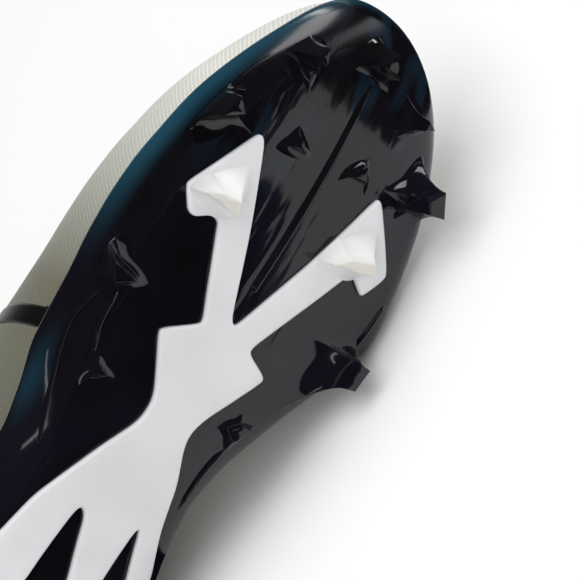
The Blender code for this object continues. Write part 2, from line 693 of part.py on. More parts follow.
def lay_down(objects):
    """Turns the standing shoe on to its medial side, as it comes to rest on a floor."""
    cloud = bmesh.new()
    volume = 0.0
    centre = Vector((0.0, 0.0, 0.0))
    for obj in objects:
        mesh = obj.data
        mesh.calc_loop_triangles()
        for triangle in mesh.loop_triangles:
            a, b, c = (mesh.vertices[i].co for i in triangle.vertices)
            part = a.dot(b.cross(c)) / 6.0
            volume += part
            centre += (a + b + c) * (part / 4.0)
        for vert in mesh.vertices:
            cloud.verts.new(vert.co)
    centre /= volume
    bmesh.ops.convex_hull(cloud, input=cloud.verts)
    cloud.faces.ensure_lookup_table()
    best, best_angle = None, 0.0
    for face in cloud.faces:
        normal = face.normal.copy()
        if (face.calc_center_median() - centre).dot(normal) < 0.0:
            normal.negate()
        if normal.y < 0.5:
            continue
        foot = centre + normal * (face.verts[0].co - centre).dot(normal)
        if inside(foot, face, normal) and normal.y > best_angle:
            best, best_angle = normal, normal.y
    cloud.free()
    down = best
    along = Vector((1.0, 0.0, 0.0))
    along = (along - down * along.dot(down)).normalized()
    up = -down
    turn = Matrix((along, up.cross(along), up)).to_4x4()
    low = Vector((1e9, 1e9, 1e9))
    high = -low
    for obj in objects:
        obj.data.transform(turn)
        for vert in obj.data.vertices:
            low = Vector(map(min, low, vert.co))
            high = Vector(map(max, high, vert.co))
    shift = Vector((-(low.x + high.x) / 2.0, -(low.y + high.y) / 2.0, -low.z))
    for obj in objects:
        obj.data.transform(Matrix.Translation(shift))
    return Matrix.Translation(shift) @ turn


def inside(point, face, normal):
    """Whether a point in a hull face's plane lies within it."""
    corners = [vert.co for vert in face.verts]
    signs = []
    for i, corner in enumerate(corners):
        edge = corners[(i + 1) % len(corners)] - corner
        signs.append(edge.cross(point - corner).dot(normal))
    return all(value >= 0.0 for value in signs) or all(value <= 0.0 for value in signs)


def paint(obj):
    red, green, blue, alpha, rough = COLOURS[obj.name]
    material = bpy.data.materials.new(obj.name)
    material.use_nodes = True
    shader = material.node_tree.nodes["Principled BSDF"]
    shader.inputs["Base Color"].default_value = (red, green, blue, alpha)
    shader.inputs["Roughness"].default_value = rough
    shader.inputs["Metallic"].default_value = 0.0
    obj.data.materials.clear()
    obj.data.materials.append(material)


def main():
    for obj in list(bpy.data.objects):
        bpy.data.objects.remove(obj)
    grid = last_grid()
    objects = [make_upper(grid), make_insole(grid), make_outsole(grid), make_spine(grid),
               make_tongue(), make_lace()]
    placed = lay_down(objects)
    for obj in objects:
        paint(obj)
    return placed


main()
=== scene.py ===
# Football boot with a moulded plate, right shoe, lying on its inner side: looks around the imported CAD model.
# All shapes are worked out on the standing shoe in millimetres (x heel to toe, y toward the inner side,
# z up from the stud tips) and turned on to the floor by standToFloor.
import math

import bmesh
import bpy
from mathutils import Euler, Matrix, Vector
from mathutils.geometry import delaunay_2d_cdt


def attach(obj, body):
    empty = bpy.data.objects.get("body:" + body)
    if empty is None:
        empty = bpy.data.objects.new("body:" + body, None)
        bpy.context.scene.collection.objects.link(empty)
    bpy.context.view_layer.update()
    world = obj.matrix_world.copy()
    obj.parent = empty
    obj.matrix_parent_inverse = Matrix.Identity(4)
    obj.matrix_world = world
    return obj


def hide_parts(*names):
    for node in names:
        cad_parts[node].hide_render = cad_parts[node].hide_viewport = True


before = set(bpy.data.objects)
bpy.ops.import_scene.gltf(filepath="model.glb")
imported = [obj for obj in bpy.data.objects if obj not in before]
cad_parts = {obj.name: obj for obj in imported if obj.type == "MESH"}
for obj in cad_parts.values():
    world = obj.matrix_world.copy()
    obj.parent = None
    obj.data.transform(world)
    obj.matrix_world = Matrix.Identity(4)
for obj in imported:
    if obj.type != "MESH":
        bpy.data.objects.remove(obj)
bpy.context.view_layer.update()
millimetre = 0.001
clothUnit = 0.01   # cloth coordinates for a millimetre: 1 unit is 100 mm

print("stage 1: camera, floor and lights")
lying = dict(roll=-95.094, pitch=-9.604, yaw=0.0, shift=(-0.137669, -0.060097, 0.026239))
view = dict(heading=65.0, under=30.0, aim=(198.2, 22.6, 11.0), lens=400.0, distance=1790.0)
light = dict(top=9.5, toe=2.4, toeStrip=0.8, front=2.6, strip=0.5, card=1.6,
             worldSeen=1.0, worldFill=0.46, worldMirrored=0.03)
flagHeights = dict(velvet=0.0008, card=0.0012)


turn = Euler([math.radians(lying[key]) for key in ("roll", "pitch", "yaw")])
standToFloor = Matrix.Translation(lying["shift"]) @ turn.to_matrix().to_4x4()


def addNode(tree, kind, values=None, links=None, **settings):
    made = tree.nodes.new(kind)
    for key, value in settings.items():
        setattr(made, key, value)
    for key, value in (values or {}).items():
        made.inputs[key].default_value = value
    for key, source in (links or {}).items():
        tree.links.new(source, made.inputs[key])
    return made


def hexColour(code):
    # sRGB hex to the linear values that nodes take
    parts = [int(code[i:i + 2], 16) / 255.0 for i in (1, 3, 5)]
    return tuple(p / 12.92 if p <= 0.04045 else ((p + 0.055) / 1.055) ** 2.4 for p in parts) + (1.0,)


def newMaterial(name):
    material = bpy.data.materials.new(name)
    material.use_nodes = True
    material.node_tree.nodes.clear()
    return material, material.node_tree


def addObject(name, data):
    made = bpy.data.objects.new(name, data)
    bpy.context.scene.collection.objects.link(made)
    return made


def makeCamera():
    heading, under = math.radians(view["heading"]), math.radians(view["under"])
    across = Vector((0.0, math.cos(under), -math.sin(under)))
    right = Vector((math.cos(heading), 0.0, 0.0)) + math.sin(heading) * across
    up = Vector((math.sin(heading), 0.0, 0.0)) - math.cos(heading) * across
    back = right.cross(up)
    camera = addObject("camera", bpy.data.cameras.new("camera"))
    axes = Matrix((right, up, back)).transposed().to_4x4()
    place = Matrix.Translation(Vector(view["aim"]) * millimetre + back * view["distance"] * millimetre)
    camera.matrix_world = standToFloor @ place @ axes
    camera.data.sensor_width = 36.0
    camera.data.lens = view["lens"]
    camera.data.clip_start = 0.05
    bpy.context.scene.camera = camera


def makeFloor():
    bm = bmesh.new()
    bmesh.ops.create_circle(bm, cap_ends=True, segments=96, radius=4.0)
    mesh = bpy.data.meshes.new("floor")
    bm.to_mesh(mesh)
    bm.free()
    floor = addObject("floor", mesh)
    material, tree = newMaterial("mattWhitePaper")   # photographer's seamless paper: even, no gloss
    shader = addNode(tree, "ShaderNodeBsdfPrincipled",
                     {"Base Color": hexColour("#F4F4F4"), "Roughness": 0.9, "IOR": 1.45})
    addNode(tree, "ShaderNodeOutputMaterial", links={"Surface": shader.outputs[0]})
    mesh.materials.append(material)


def addLight(name, power, size, place, target, mirrored=True):
    lamp = bpy.data.lights.new(name, "AREA")
    lamp.shape = "RECTANGLE"
    lamp.size, lamp.size_y = size
    lamp.energy = power
    obj = addObject(name, lamp)
    obj.visible_glossy = mirrored   # a softbox that glossy faces don't mirror lights them without a streak
    obj.location = place
    obj.rotation_euler = (Vector(target) - Vector(place)).to_track_quat("-Z", "Y").to_euler()


def addFlag(name, corners, material, lift):
    # a flag or card just above the paper: glossy surfaces mirror it, nothing else sees it
    mesh = bpy.data.meshes.new(name)
    mesh.from_pydata([(x, y, lift) for x, y in corners], [], [tuple(range(len(corners)))])
    mesh.materials.append(material)
    flag = addObject(name, mesh)
    flag.visible_camera = False
    flag.visible_diffuse = False
    flag.visible_shadow = False
    flag.visible_transmission = False


def makeFlags():
    material, tree = newMaterial("blackVelvet")   # swallows light, so a glossy plate turns black over it
    shader = addNode(tree, "ShaderNodeBsdfPrincipled",
                     {"Base Color": hexColour("#0A0A0C"), "Roughness": 1.0, "Specular IOR Level": 0.0})
    addNode(tree, "ShaderNodeOutputMaterial", links={"Surface": shader.outputs[0]})
    flags = {
        "farFlag": ((-1.2, -0.11), (-0.01, -0.11), (0.06, -0.143), (0.115, -0.165), (0.128, -0.20),
                    (0.150, -0.27), (0.25, -0.29), (1.6, -0.30), (1.6, -3.0), (-1.2, -3.0)),
        "heelFlag": ((-1.2, 0.30), (-0.02, 0.30), (-0.015, -0.109), (-1.2, -0.109)),
        "toeFlag": ((0.145, 0.30), (0.142, -0.10), (0.185, -0.165), (0.29, -0.295), (1.6, -0.295),
                    (1.6, 0.30))}
    for name, corners in flags.items():
        addFlag(name, corners, material, flagHeights["velvet"])
    glow, tree = newMaterial("backlitCard")   # a low light card that the toe mirrors as a soft crescent
    shader = addNode(tree, "ShaderNodeEmission", {"Color": hexColour("#F4F6FA"), "Strength": light["card"]})
    addNode(tree, "ShaderNodeOutputMaterial", links={"Surface": shader.outputs[0]})
    addFlag("toeCard", ((0.250, -0.045), (0.268, -0.105), (0.350, -0.215), (0.60, -0.52), (0.95, -0.76),
                        (1.05, -0.66), (0.70, -0.44), (0.40, -0.155), (0.285, -0.040)),
            glow, flagHeights["card"])


def makeLights():
    middle, toeEnd = (0.0, -0.05, 0.04), (0.08, -0.03, 0.04)
    addLight("topSoftbox", light["top"], (1.3, 1.1), (0.10, -0.20, 1.1), (0.03, -0.03, 0.04), mirrored=False)
    addLight("toeSoftbox", light["toe"], (0.6, 0.25), (1.0, -0.21, 0.33), toeEnd)
    addLight("toeStrip", light["toeStrip"], (0.35, 0.08), (0.93, 0.27, 0.30), toeEnd)
    addLight("frontSoftbox", light["front"], (1.0, 0.5), (-0.7, -0.9, 0.75), middle, mirrored=False)
    addLight("edgeStrip", light["strip"], (0.05, 0.9), (-0.5, -0.9, 0.5), middle)
    world = bpy.data.worlds.new("studio")
    world.use_nodes = True
    tree = world.node_tree
    tree.nodes.clear()
    path = addNode(tree, "ShaderNodeLightPath")
    seen, fill, dark = (
        addNode(tree, "ShaderNodeBackground", {"Color": hexColour(code), "Strength": light[strength]})
        for code, strength in (("#FFFFFF", "worldSeen"), ("#F8F8F8", "worldFill"),
                               ("#F8F8F8", "worldMirrored")))
    mirrored = addNode(tree, "ShaderNodeMixShader",
                       links={0: path.outputs["Is Glossy Ray"], 1: fill.outputs[0], 2: dark.outputs[0]})
    both = addNode(tree, "ShaderNodeMixShader",
                   links={0: path.outputs["Is Camera Ray"], 1: mirrored.outputs[0], 2: seen.outputs[0]})
    addNode(tree, "ShaderNodeOutputWorld", links={"Surface": both.outputs[0]})
    bpy.context.scene.world = world
    bpy.context.scene.view_settings.view_transform = "Standard"


makeCamera()
makeFloor()
makeFlags()
makeLights()

print("stage 2: the last")
last = dict(
    length=278.0, ball=96.0, instep=92.0, ankle=58.0, heel=80.0, toeSpring=13.0, archRise=5.0, studs=11.0,
    feather=12.0, heelBulge=3.0, heelHook=7.0, toeRound=0.180, heelRound=0.125, toePower=2.2,
    heelPower=2.25, bottomPower=5.0, crownPower=2.25, toeCrownPower=1.90, springStart=0.70,
    springPower=1.9, archBack=0.20, archFront=0.60, hookStart=0.66)
walls = dict(upper=1.8, plate=2.2, spine=1.3, insole=3.0, tongue=3.5, gap=0.3, tongueGap=1.7)
throat = dict(front=190.0, half=10.0, rounding=16.0, tongueOverlap=7.0, tongueTip=100.0)
lacing = dict(width=6.0, thickness=1.6, inset=6.0, front=182.0, back=126.0, crossings=5, clearance=1.1)
lastBottom = last["studs"] + walls["plate"] + walls["gap"]
toeCentre = (1.0 - last["toeRound"]) * last["length"]
heelCentre = last["heelRound"] * last["length"]

lastTable = (
    # along, outer edge, inner edge, ridge, crown
    (0.000, 0.345, 0.265, -0.040, 1.50), (0.090, 0.362, 0.282, -0.045, 1.50),
    (0.180, 0.368, 0.285, -0.045, 1.48), (0.290, 0.350, 0.285, -0.035, 1.34),
    (0.370, 0.332, 0.288, -0.025, 1.17), (0.420, 0.326, 0.278, -0.015, 1.03),
    (0.465, 0.318, 0.272, 0.000, 0.93), (0.515, 0.346, 0.300, 0.020, 0.84),
    (0.570, 0.386, 0.372, 0.045, 0.74), (0.620, 0.391, 0.458, 0.065, 0.66),
    (0.665, 0.391, 0.545, 0.085, 0.60), (0.710, 0.383, 0.585, 0.100, 0.56),
    (0.760, 0.356, 0.588, 0.115, 0.52), (0.805, 0.310, 0.583, 0.130, 0.49),
    (0.855, 0.250, 0.570, 0.148, 0.455), (0.900, 0.184, 0.566, 0.165, 0.445),
    (0.950, 0.108, 0.566, 0.182, 0.460), (1.000, 0.036, 0.562, 0.200, 0.480))
rimTable = (
    # along, then the rim's height outside and inside, as a share of the feather's
    (0.00, 0.95, 0.95), (0.12, 0.80, 0.80), (0.30, 0.85, 0.80), (0.45, 0.92, 0.75), (0.55, 0.70, 0.62),
    (0.65, 0.50, 0.55), (0.85, 0.48, 0.58), (0.94, 0.54, 0.68), (1.00, 0.70, 0.70))
# along, then the topline's height between the ankle's (0) and the heel's (1)
collarTable = ((0.00, 1.00), (0.05, 0.94), (0.11, 0.55), (0.18, 0.10), (0.24, 0.00), (0.31, 0.28),
               (0.38, 0.95), (0.44, 1.90))


def tableValue(rows, column, along):
    # a smooth curve through one column that never overshoots its rows
    places = [row[0] for row in rows]
    values = [row[column] for row in rows]
    along = min(max(along, places[0]), places[-1])
    i = 0
    while i < len(places) - 2 and along > places[i + 1]:
        i += 1
    step = places[i + 1] - places[i]
    t = (along - places[i]) / step

    def slope(k):
        if k == 0 or k == len(places) - 1:
            j = min(k, len(places) - 2)
            return (values[j + 1] - values[j]) / (places[j + 1] - places[j])
        before = (values[k] - values[k - 1]) / (places[k] - places[k - 1])
        after = (values[k + 1] - values[k]) / (places[k + 1] - places[k])
        if before * after <= 0.0:
            return 0.0
        return 2.0 * before * after / (before + after)

    a, b = values[i], values[i + 1]
    m0, m1 = slope(i) * step, slope(i + 1) * step
    return ((2 * t ** 3 - 3 * t ** 2 + 1) * a + (t ** 3 - 2 * t ** 2 + t) * m0
            + (3 * t ** 2 - 2 * t ** 3) * b + (t ** 3 - t ** 2) * m1)


def ridgeAt(x):
    return tableValue(lastTable, 3, x / last["length"]) * last["ball"]


def halfWidth(x, side):
    edge = tableValue(lastTable, 1 if side < 0 else 2, x / last["length"]) * last["ball"]
    return edge - side * ridgeAt(x)


def crownAt(x):
    return tableValue(lastTable, 4, x / last["length"]) * last["instep"]


def riseAt(x):
    along = x / last["length"]
    height = 0.0
    if along > last["springStart"]:
        part = (along - last["springStart"]) / (1.0 - last["springStart"])
        height += last["toeSpring"] * part ** last["springPower"]
    if last["archBack"] < along < last["archFront"]:
        part = (along - last["archBack"]) / (last["archFront"] - last["archBack"])
        height += last["archRise"] * math.sin(math.pi * part) ** 2
    return height


def smooth(t):
    t = min(max(t, 0.0), 1.0)
    return t * t * (3.0 - 2.0 * t)


def polar(angle, power):
    # a point on a rounded square: power 2 is a circle, more is squarer
    c, s = abs(math.cos(angle)), abs(math.sin(angle))
    radius = (c ** power + s ** power) ** (-1.0 / power)
    return radius * c, radius * s


def columnAt(kind, value, side):
    # one section of the last in plan: middle, edge and how far round the toe it is
    if kind == "side":
        return (value, ridgeAt(value)), (value, ridgeAt(value) + side * halfWidth(value, side)), 0.0
    if kind == "toe":
        across, along = polar(value, last["toePower"])
        x = toeCentre + along * last["toeRound"] * last["length"]
        edge = (x, ridgeAt(x) + side * halfWidth(x, side) * across)
        return (toeCentre, ridgeAt(toeCentre)), edge, value / (0.5 * math.pi)
    across, along = polar(value, last["heelPower"])
    x = heelCentre - along * heelCentre
    edge = (x, ridgeAt(x) + side * halfWidth(x, side) * across)
    return (heelCentre, ridgeAt(heelCentre)), edge, 0.0


def heelShear(x, height):
    turn = last["hookStart"] * last["heel"]
    reach = 2.0 * heelCentre
    if x >= reach:
        return 0.0
    fade = ((reach - x) / reach) ** 2
    if height < turn:
        return -last["heelBulge"] * math.sin(math.pi * height / turn) * fade
    past = (height - turn) / (last["heel"] - turn)
    return last["heelHook"] * (1.0 - math.cos(0.5 * math.pi * past)) * fade


def crownPowerAt(toeTurn):
    share = math.sin(0.5 * math.pi * toeTurn) ** 2
    return last["crownPower"] + (last["toeCrownPower"] - last["crownPower"]) * share


def sectionPoint(col, q):
    # q is -1 under the middle, 0 at the widest line, 1 on the ridge
    middle, edge, toeTurn = col
    if q <= 0.0:
        down, out = polar((1.0 + q) * 0.5 * math.pi, last["bottomPower"])
        height = last["feather"] * (1.0 - down)
    else:
        out, up = polar(q * 0.5 * math.pi, crownPowerAt(toeTurn))
        x = middle[0] + (edge[0] - middle[0]) * out
        height = last["feather"] + (crownAt(x) - last["feather"]) * up
    x = middle[0] + (edge[0] - middle[0]) * out
    y = middle[1] + (edge[1] - middle[1]) * out
    return Vector((x + heelShear(x, height), y, lastBottom + riseAt(x) + height))


def qAtHeight(col, height):
    middle, _, toeTurn = col
    if height < last["feather"]:
        down = 1.0 - height / last["feather"]
        out = (1.0 - down ** last["bottomPower"]) ** (1.0 / last["bottomPower"])
        return math.atan2(out, down) / (0.5 * math.pi) - 1.0
    power = crownPowerAt(toeTurn)
    up = min((height - last["feather"]) / (crownAt(middle[0]) - last["feather"]), 1.0)
    out = (1.0 - up ** power) ** (1.0 / power)
    return math.atan2(up, out) / (0.5 * math.pi)


def qAtOffset(col, offset):
    middle, edge, toeTurn = col
    width = math.hypot(edge[0] - middle[0], edge[1] - middle[1])
    power = crownPowerAt(toeTurn)
    out = min(offset / width, 1.0)
    up = (1.0 - out ** power) ** (1.0 / power)
    return math.atan2(up, out) / (0.5 * math.pi)


def throatHalf(x):
    into = throat["front"] - x
    if into <= 0.0:
        return 0.0
    if into >= throat["rounding"]:
        return throat["half"]
    return throat["half"] * math.sqrt(1.0 - (1.0 - into / throat["rounding"]) ** 2)


def qTop(col):
    x = col[0][0]
    half = throatHalf(x)
    if half == 0.0:
        return 1.0
    place = min(col[1][0], x) / last["length"]
    collar = last["ankle"] + (last["heel"] - last["ankle"]) * tableValue(collarTable, 1, place)
    return min(qAtHeight(col, collar), qAtOffset(col, half))


def qRim(col, side):
    share = tableValue(rimTable, 1 if side < 0 else 2, col[1][0] / last["length"])
    return qAtHeight(col, share * last["feather"])


def edgeShare(x, y):
    # 0 on the ridge line, 1 at the last's edge in plan
    across = abs(y - ridgeAt(x)) / halfWidth(x, -1 if y < ridgeAt(x) else 1)
    if x > toeCentre:
        along, power = (x - toeCentre) / (last["toeRound"] * last["length"]), last["toePower"]
    elif x < heelCentre:
        along, power = (heelCentre - x) / heelCentre, last["heelPower"]
    else:
        return across
    return (along ** power + across ** power) ** (1.0 / power)


def soleZ(x, y, limit=0.999):
    reach = min(edgeShare(x, y), limit) ** last["bottomPower"]
    return lastBottom + riseAt(x) + last["feather"] * (1.0 - (1.0 - reach) ** (1.0 / last["bottomPower"]))


def denseColumns(sideStep, fan):
    # sections right round the shoe: heel back, outer side, toe, inner side; closer at the throat's front end
    finer = 0.35
    stations = []
    x = heelCentre
    while x < toeCentre - 0.5 * sideStep:
        stations.append(x)
        near = throat["front"] - throat["rounding"] - 2.0 < x < throat["front"] + 1.0
        x += sideStep * (finer if near else 1.0)
    stations.append(toeCentre)
    columns = []
    for side in (-1, 1):
        half = [("heel", 0.5 * math.pi * (1.0 - k / fan)) for k in range(fan)]
        half += [("side", place) for place in stations]
        half += [("toe", 0.5 * math.pi * k / fan) for k in range(1, fan + 1)]
        if side > 0:
            half = half[1:-1][::-1]
        columns += [(columnAt(kind, value, side), side) for kind, value in half]
    return columns


def pointKey(point):
    return tuple(round(value, 3) for value in point)


def gridNormals(points):
    # the direction out of a grid that closes on itself, averaged at each of its points
    count, depth = len(points), len(points[0])
    sums = {}
    for k in range(count):
        for j in range(depth - 1):
            a, b = points[k][j], points[(k + 1) % count][j]
            c, d = points[(k + 1) % count][j + 1], points[k][j + 1]
            face = (c - a).cross(d - b)
            for corner in (a, b, c, d):
                key = pointKey(corner)
                sums[key] = sums.get(key, Vector((0.0, 0.0, 0.0))) + face
    return [[sums[pointKey(p)].normalized() for p in line] for line in points]


def finishMesh(name, bm, material, weld=0.004):
    # welds, turns the standing millimetres on to the floor and hands the piece to the frame
    if weld:
        bmesh.ops.remove_doubles(bm, verts=bm.verts, dist=weld)
        bmesh.ops.dissolve_degenerate(bm, edges=bm.edges, dist=weld * 0.5)
    bmesh.ops.recalc_face_normals(bm, faces=bm.faces)
    bm.transform(standToFloor @ Matrix.Scale(millimetre, 4))
    mesh = bpy.data.meshes.new(name)
    bm.to_mesh(mesh)
    bm.free()
    for face in mesh.polygons:
        face.use_smooth = True
    piece = addObject(name, mesh)
    mesh.materials.append(material)
    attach(piece, "root")
    return piece


def bridgeRings(bm, rings, joinEnds=False):
    # a skin over rings of the same count; the faces come back in order
    count = len(rings[0])
    following = rings[1:] + rings[:1] if joinEnds else rings[1:]
    return [bm.faces.new((low[k], low[(k + 1) % count], high[(k + 1) % count], high[k]))
            for low, high in zip(rings, following) for k in range(count)]


def closeSlab(bm, low, high):
    # a closed slab between two grids of the same size
    rows, steps = len(low) - 1, len(low[0]) - 1
    for i in range(rows):
        for k in range(steps):
            for sheet in (low, high):
                bm.faces.new((sheet[i][k], sheet[i + 1][k], sheet[i + 1][k + 1], sheet[i][k + 1]))
        for k in (0, steps):
            bm.faces.new((low[i][k], low[i + 1][k], high[i + 1][k], high[i][k]))
    for i in (0, rows):
        for k in range(steps):
            bm.faces.new((low[i][k], low[i][k + 1], high[i][k + 1], high[i][k]))


def wallMesh(points, directions, inner, outer, marks=None):
    # a closed wall over a grid of points; inner and outer give the offsets for a column and row
    bm = bmesh.new()
    flat = bm.loops.layers.uv.new("cloth")
    layerOf = {name: bm.verts.layers.float.new(name) for name in (marks or {})}
    count, depth = len(points), len(points[0])
    layers = []
    for which, offset in ((0, inner), (1, outer)):
        sheet = []
        for k in range(count):
            line = []
            for j in range(depth):
                vert = bm.verts.new(points[k][j] + directions[k][j] * offset(k, j))
                for name, rule in (marks or {}).items():
                    vert[layerOf[name]] = rule(k, j, which)
                line.append(vert)
            sheet.append(line)
        layers.append(sheet)
    low, high = layers
    around = [0.0]
    for k in range(count):
        a, b = points[k][depth // 2], points[(k + 1) % count][depth // 2]
        around.append(around[-1] + (b - a).length)
    upward = []
    for k in range(count):
        line = [0.0]
        for j in range(depth - 1):
            line.append(line[-1] + (points[k][j + 1] - points[k][j]).length)
        upward.append(line)
    edges = {}
    for k in range(count):
        n = (k + 1) % count
        for j in range(depth - 1):
            quads = ((high[k][j], high[k][j + 1], high[n][j + 1], high[n][j]),
                     (low[k][j], low[k][j + 1], low[n][j + 1], low[n][j]))
            spots = ((around[k], upward[k][j]), (around[k], upward[k][j + 1]),
                     (around[k + 1], upward[n][j + 1]), (around[k + 1], upward[n][j]))
            for quad in quads:
                face = bm.faces.new(quad)
                for loop, spot in zip(face.loops, spots):
                    loop[flat].uv = (spot[0] * clothUnit, spot[1] * clothUnit)
        for j in (0, depth - 1):
            place = frozenset(pointKey(points[i][j]) for i in (k, n))
            edges.setdefault(place, []).append((low[k][j], low[n][j], high[n][j], high[k][j]))
    for place, sides in edges.items():
        if len(place) == 2 and len(sides) == 1:
            bm.faces.new(sides[0])
    return bm


print("stage 3: moulded plate")
plate = dict(sideStep=3.4, fan=26, soleRows=26, rowSpread=1.25, rimRows=4.0, rimThin=0.9, crown=1.5,
             rootLimit=0.94, centreLimit=0.84, ribLimit=0.985)
flange = dict(place=147.0, height=1.2, length=13.0, inward=5.0, width=2.6)   # swelling at the waist
plateLook = dict(outerThinStart=0.64, innerThinStart=0.82, thinSpan=0.16, clearWidth=5.8, clearFade=4.2,
                 lipAndHighlightWidth=0.8, ripplesFrom=8.0, ripplesFade=8.0, ripplesEnd=0.955, ripplesEndFade=0.03)
studMesh = dict(levels=12, sides=72, core=0.4, skirt=0.5, centrePull=0.04, rootPull=0.02, sunk=0.12,
                capDepth=0.6, litRiseSpeed=1.6)
ribMesh = dict(sections=40, across=12, crest=1.2, endShare=0.18, narrowing=0.4, edge=0.15, depth=0.8)
plateStud = dict(valley=3.6, waisted=0.36, hollow=2.4, flare=3.7, tipRound=0.35)   # hollow sides, crisp tip
plateOuter = walls["gap"] + walls["plate"]
# Each stud: place of the tip, tip height above the ground, then its arms. An arm is the direction and reach
# of its root, from the toe toward the inner side, and the corner of the tip that it rises to.
edgeStuds = (
    ("lateralToe", (0.938, -0.008), 6.5,
     ((50.0, 7.0, 2.6, 0.4), (161.0, 13.0, -2.4, 1.8), (239.0, 7.5, -1.2, -2.4))),
    ("medialToe", (0.958, 0.222), 8.0,
     ((11.0, 8.0, 4.0, -0.2), (132.0, 11.0, -2.9, 3.2), (226.0, 8.0, -1.2, -3.2))),
    ("medialFin", (0.920, 0.425), 9.5,
     ((95.0, 6.0, -0.2, 1.8), (215.0, 9.0, -1.6, -1.2), (316.0, 10.0, 1.6, -1.2))),
    ("centreMedial", (0.847, 0.292), 9.5,
     ((18.0, 6.2, 2.4, 0.2), (148.0, 8.8, -1.2, 1.8), (233.0, 8.8, -1.2, -2.4))),
    ("centreLateral", (0.847, 0.060), 9.5,
     ((348.0, 6.2, 1.8, 0.0), (110.0, 8.2, -1.0, 2.4), (239.0, 8.2, -1.0, -2.4))),
    ("lateralFront", (0.850, -0.212), 1.0,
     ((35.0, 8.5, 4.3, -2.2), (111.0, 11.5, 0.4, 1.2), (207.0, 19.0, -2.7, -5.0))),
    ("lateralBall", (0.656, -0.345), 0.0,
     ((0.0, 13.6, 3.4, -4.8), (87.0, 13.3, 0.4, 4.8), (182.0, 8.0, -2.6, -1.2))),
    ("lateralWaist", (0.561, -0.236), 7.5,
     ((346.0, 7.8, 1.3, -0.4), (89.0, 10.5, 0.0, 2.2), (198.0, 7.8, -1.4, -0.6))),
    ("medialFront", (0.850, 0.505), 1.0,
     ((356.0, 13.0, 4.8, 0.8), (145.0, 12.0, -2.2, 4.0), (215.0, 7.0, -3.0, -1.2), (258.0, 10.5, 0.6, -2.9))),
    ("medialBall", (0.662, 0.508), 0.0,
     ((13.0, 14.0, 3.2, 2.0), (130.0, 6.0, -3.9, 0.4), (207.0, 26.0, -4.2, -2.3), (290.0, 15.0, 3.8, -1.4))),
    ("medialWaist", (0.563, 0.268), 7.5,
     ((0.0, 6.6, 1.8, 0.0), (63.0, 8.6, 1.8, 3.2), (174.0, 9.8, -2.6, 0.2), (256.0, 7.4, -0.4, -2.8))),
    ("heelLateralFront", (0.225, -0.270), 0.0,
     ((0.0, 14.0, 4.0, -1.4), (95.0, 9.5, 0.2, 4.2), (180.0, 14.0, -4.2, -1.4))),
    ("heelLateralBack", (0.085, -0.215), 0.0,
     ((345.0, 14.0, 4.0, -1.6), (75.0, 9.5, 1.0, 4.2), (165.0, 11.0, -4.0, -0.6))),
    ("heelMedialFront", (0.225, 0.190), 0.0,
     ((0.0, 14.0, 4.0, 1.4), (180.0, 14.0, -4.2, 1.4), (265.0, 9.5, 0.2, -4.2))),
    ("heelMedialBack", (0.085, 0.130), 0.0,
     ((15.0, 14.0, 4.0, 1.6), (195.0, 11.0, -4.0, 0.6), (285.0, 9.5, 1.0, -4.2))))
# ridges moulded on the plate: width, height, how full each end is, which way the crest leans, then the line
plateRibs = (
    (3.6, 0.95, (0.95, 0.12), 0.45, ((193.6, 10.8), (225.0, 16.3), (263.0, 22.7))),
    (2.2, 1.3, (0.9, 0.2), 0.0, ((191.0, 50.4), (198.5, 52.5), (206.5, 54.4))),
    (2.6, 1.3, (0.5, 0.9), -0.3, ((258.0, -7.5), (251.4, -13.0), (246.0, -16.6), (241.0, -18.6))),
    (1.9, 1.5, (0.25, 0.25), 0.0, ((151.0, 26.2), (142.0, 23.6), (129.0, 22.6))),
    (2.2, 1.7, (0.25, 0.25), 0.0,
     ((177.0, -31.5), (168.0, -35.0), (158.0, -34.6), (143.0, -30.5), (131.0, -26.6))),
    (2.4, 1.4, (0.25, 0.25), 0.0, ((178.0, -27.0), (168.0, -27.6), (160.0, -25.6))),
    (3.0, 1.1, (0.8, 0.5), 0.5, ((229.4, 44.4), (232.6, 47.6))))


def soleCrown(x, y):
    # the moulded plate is faintly domed across, so only one half of it mirrors the floor
    share = min(edgeShare(x, y), 1.0)
    return plate["crown"] * (1.0 - share * share)


def studOutline(arms, steps, shape):
    # a star of root directions and reaches, and the straight-sided tip, point for point
    heads = sorted(arms)
    out = []
    for i, (start, reach, tipX, tipY) in enumerate(heads):
        end, nextReach, nextX, nextY = heads[(i + 1) % len(heads)]
        span = (end - start) % 360.0
        valley = min(shape["valley"], shape["waisted"] * reach, shape["waisted"] * nextReach)
        valley = max(valley, studMesh["core"] + 0.5 * math.hypot(tipX + nextX, tipY + nextY))
        for k in range(steps):
            t = 0.5 - 0.5 * math.cos(math.pi * k / steps)
            t = 0.5 * (t + k / steps)
            radius = valley + (reach - valley) * (1.0 - t) ** shape["hollow"]
            radius += (nextReach - valley) * t ** shape["hollow"]
            corner = Vector((tipX + (nextX - tipX) * t, tipY + (nextY - tipY) * t))
            out.append((math.radians(start + span * t), radius, corner))
    return out


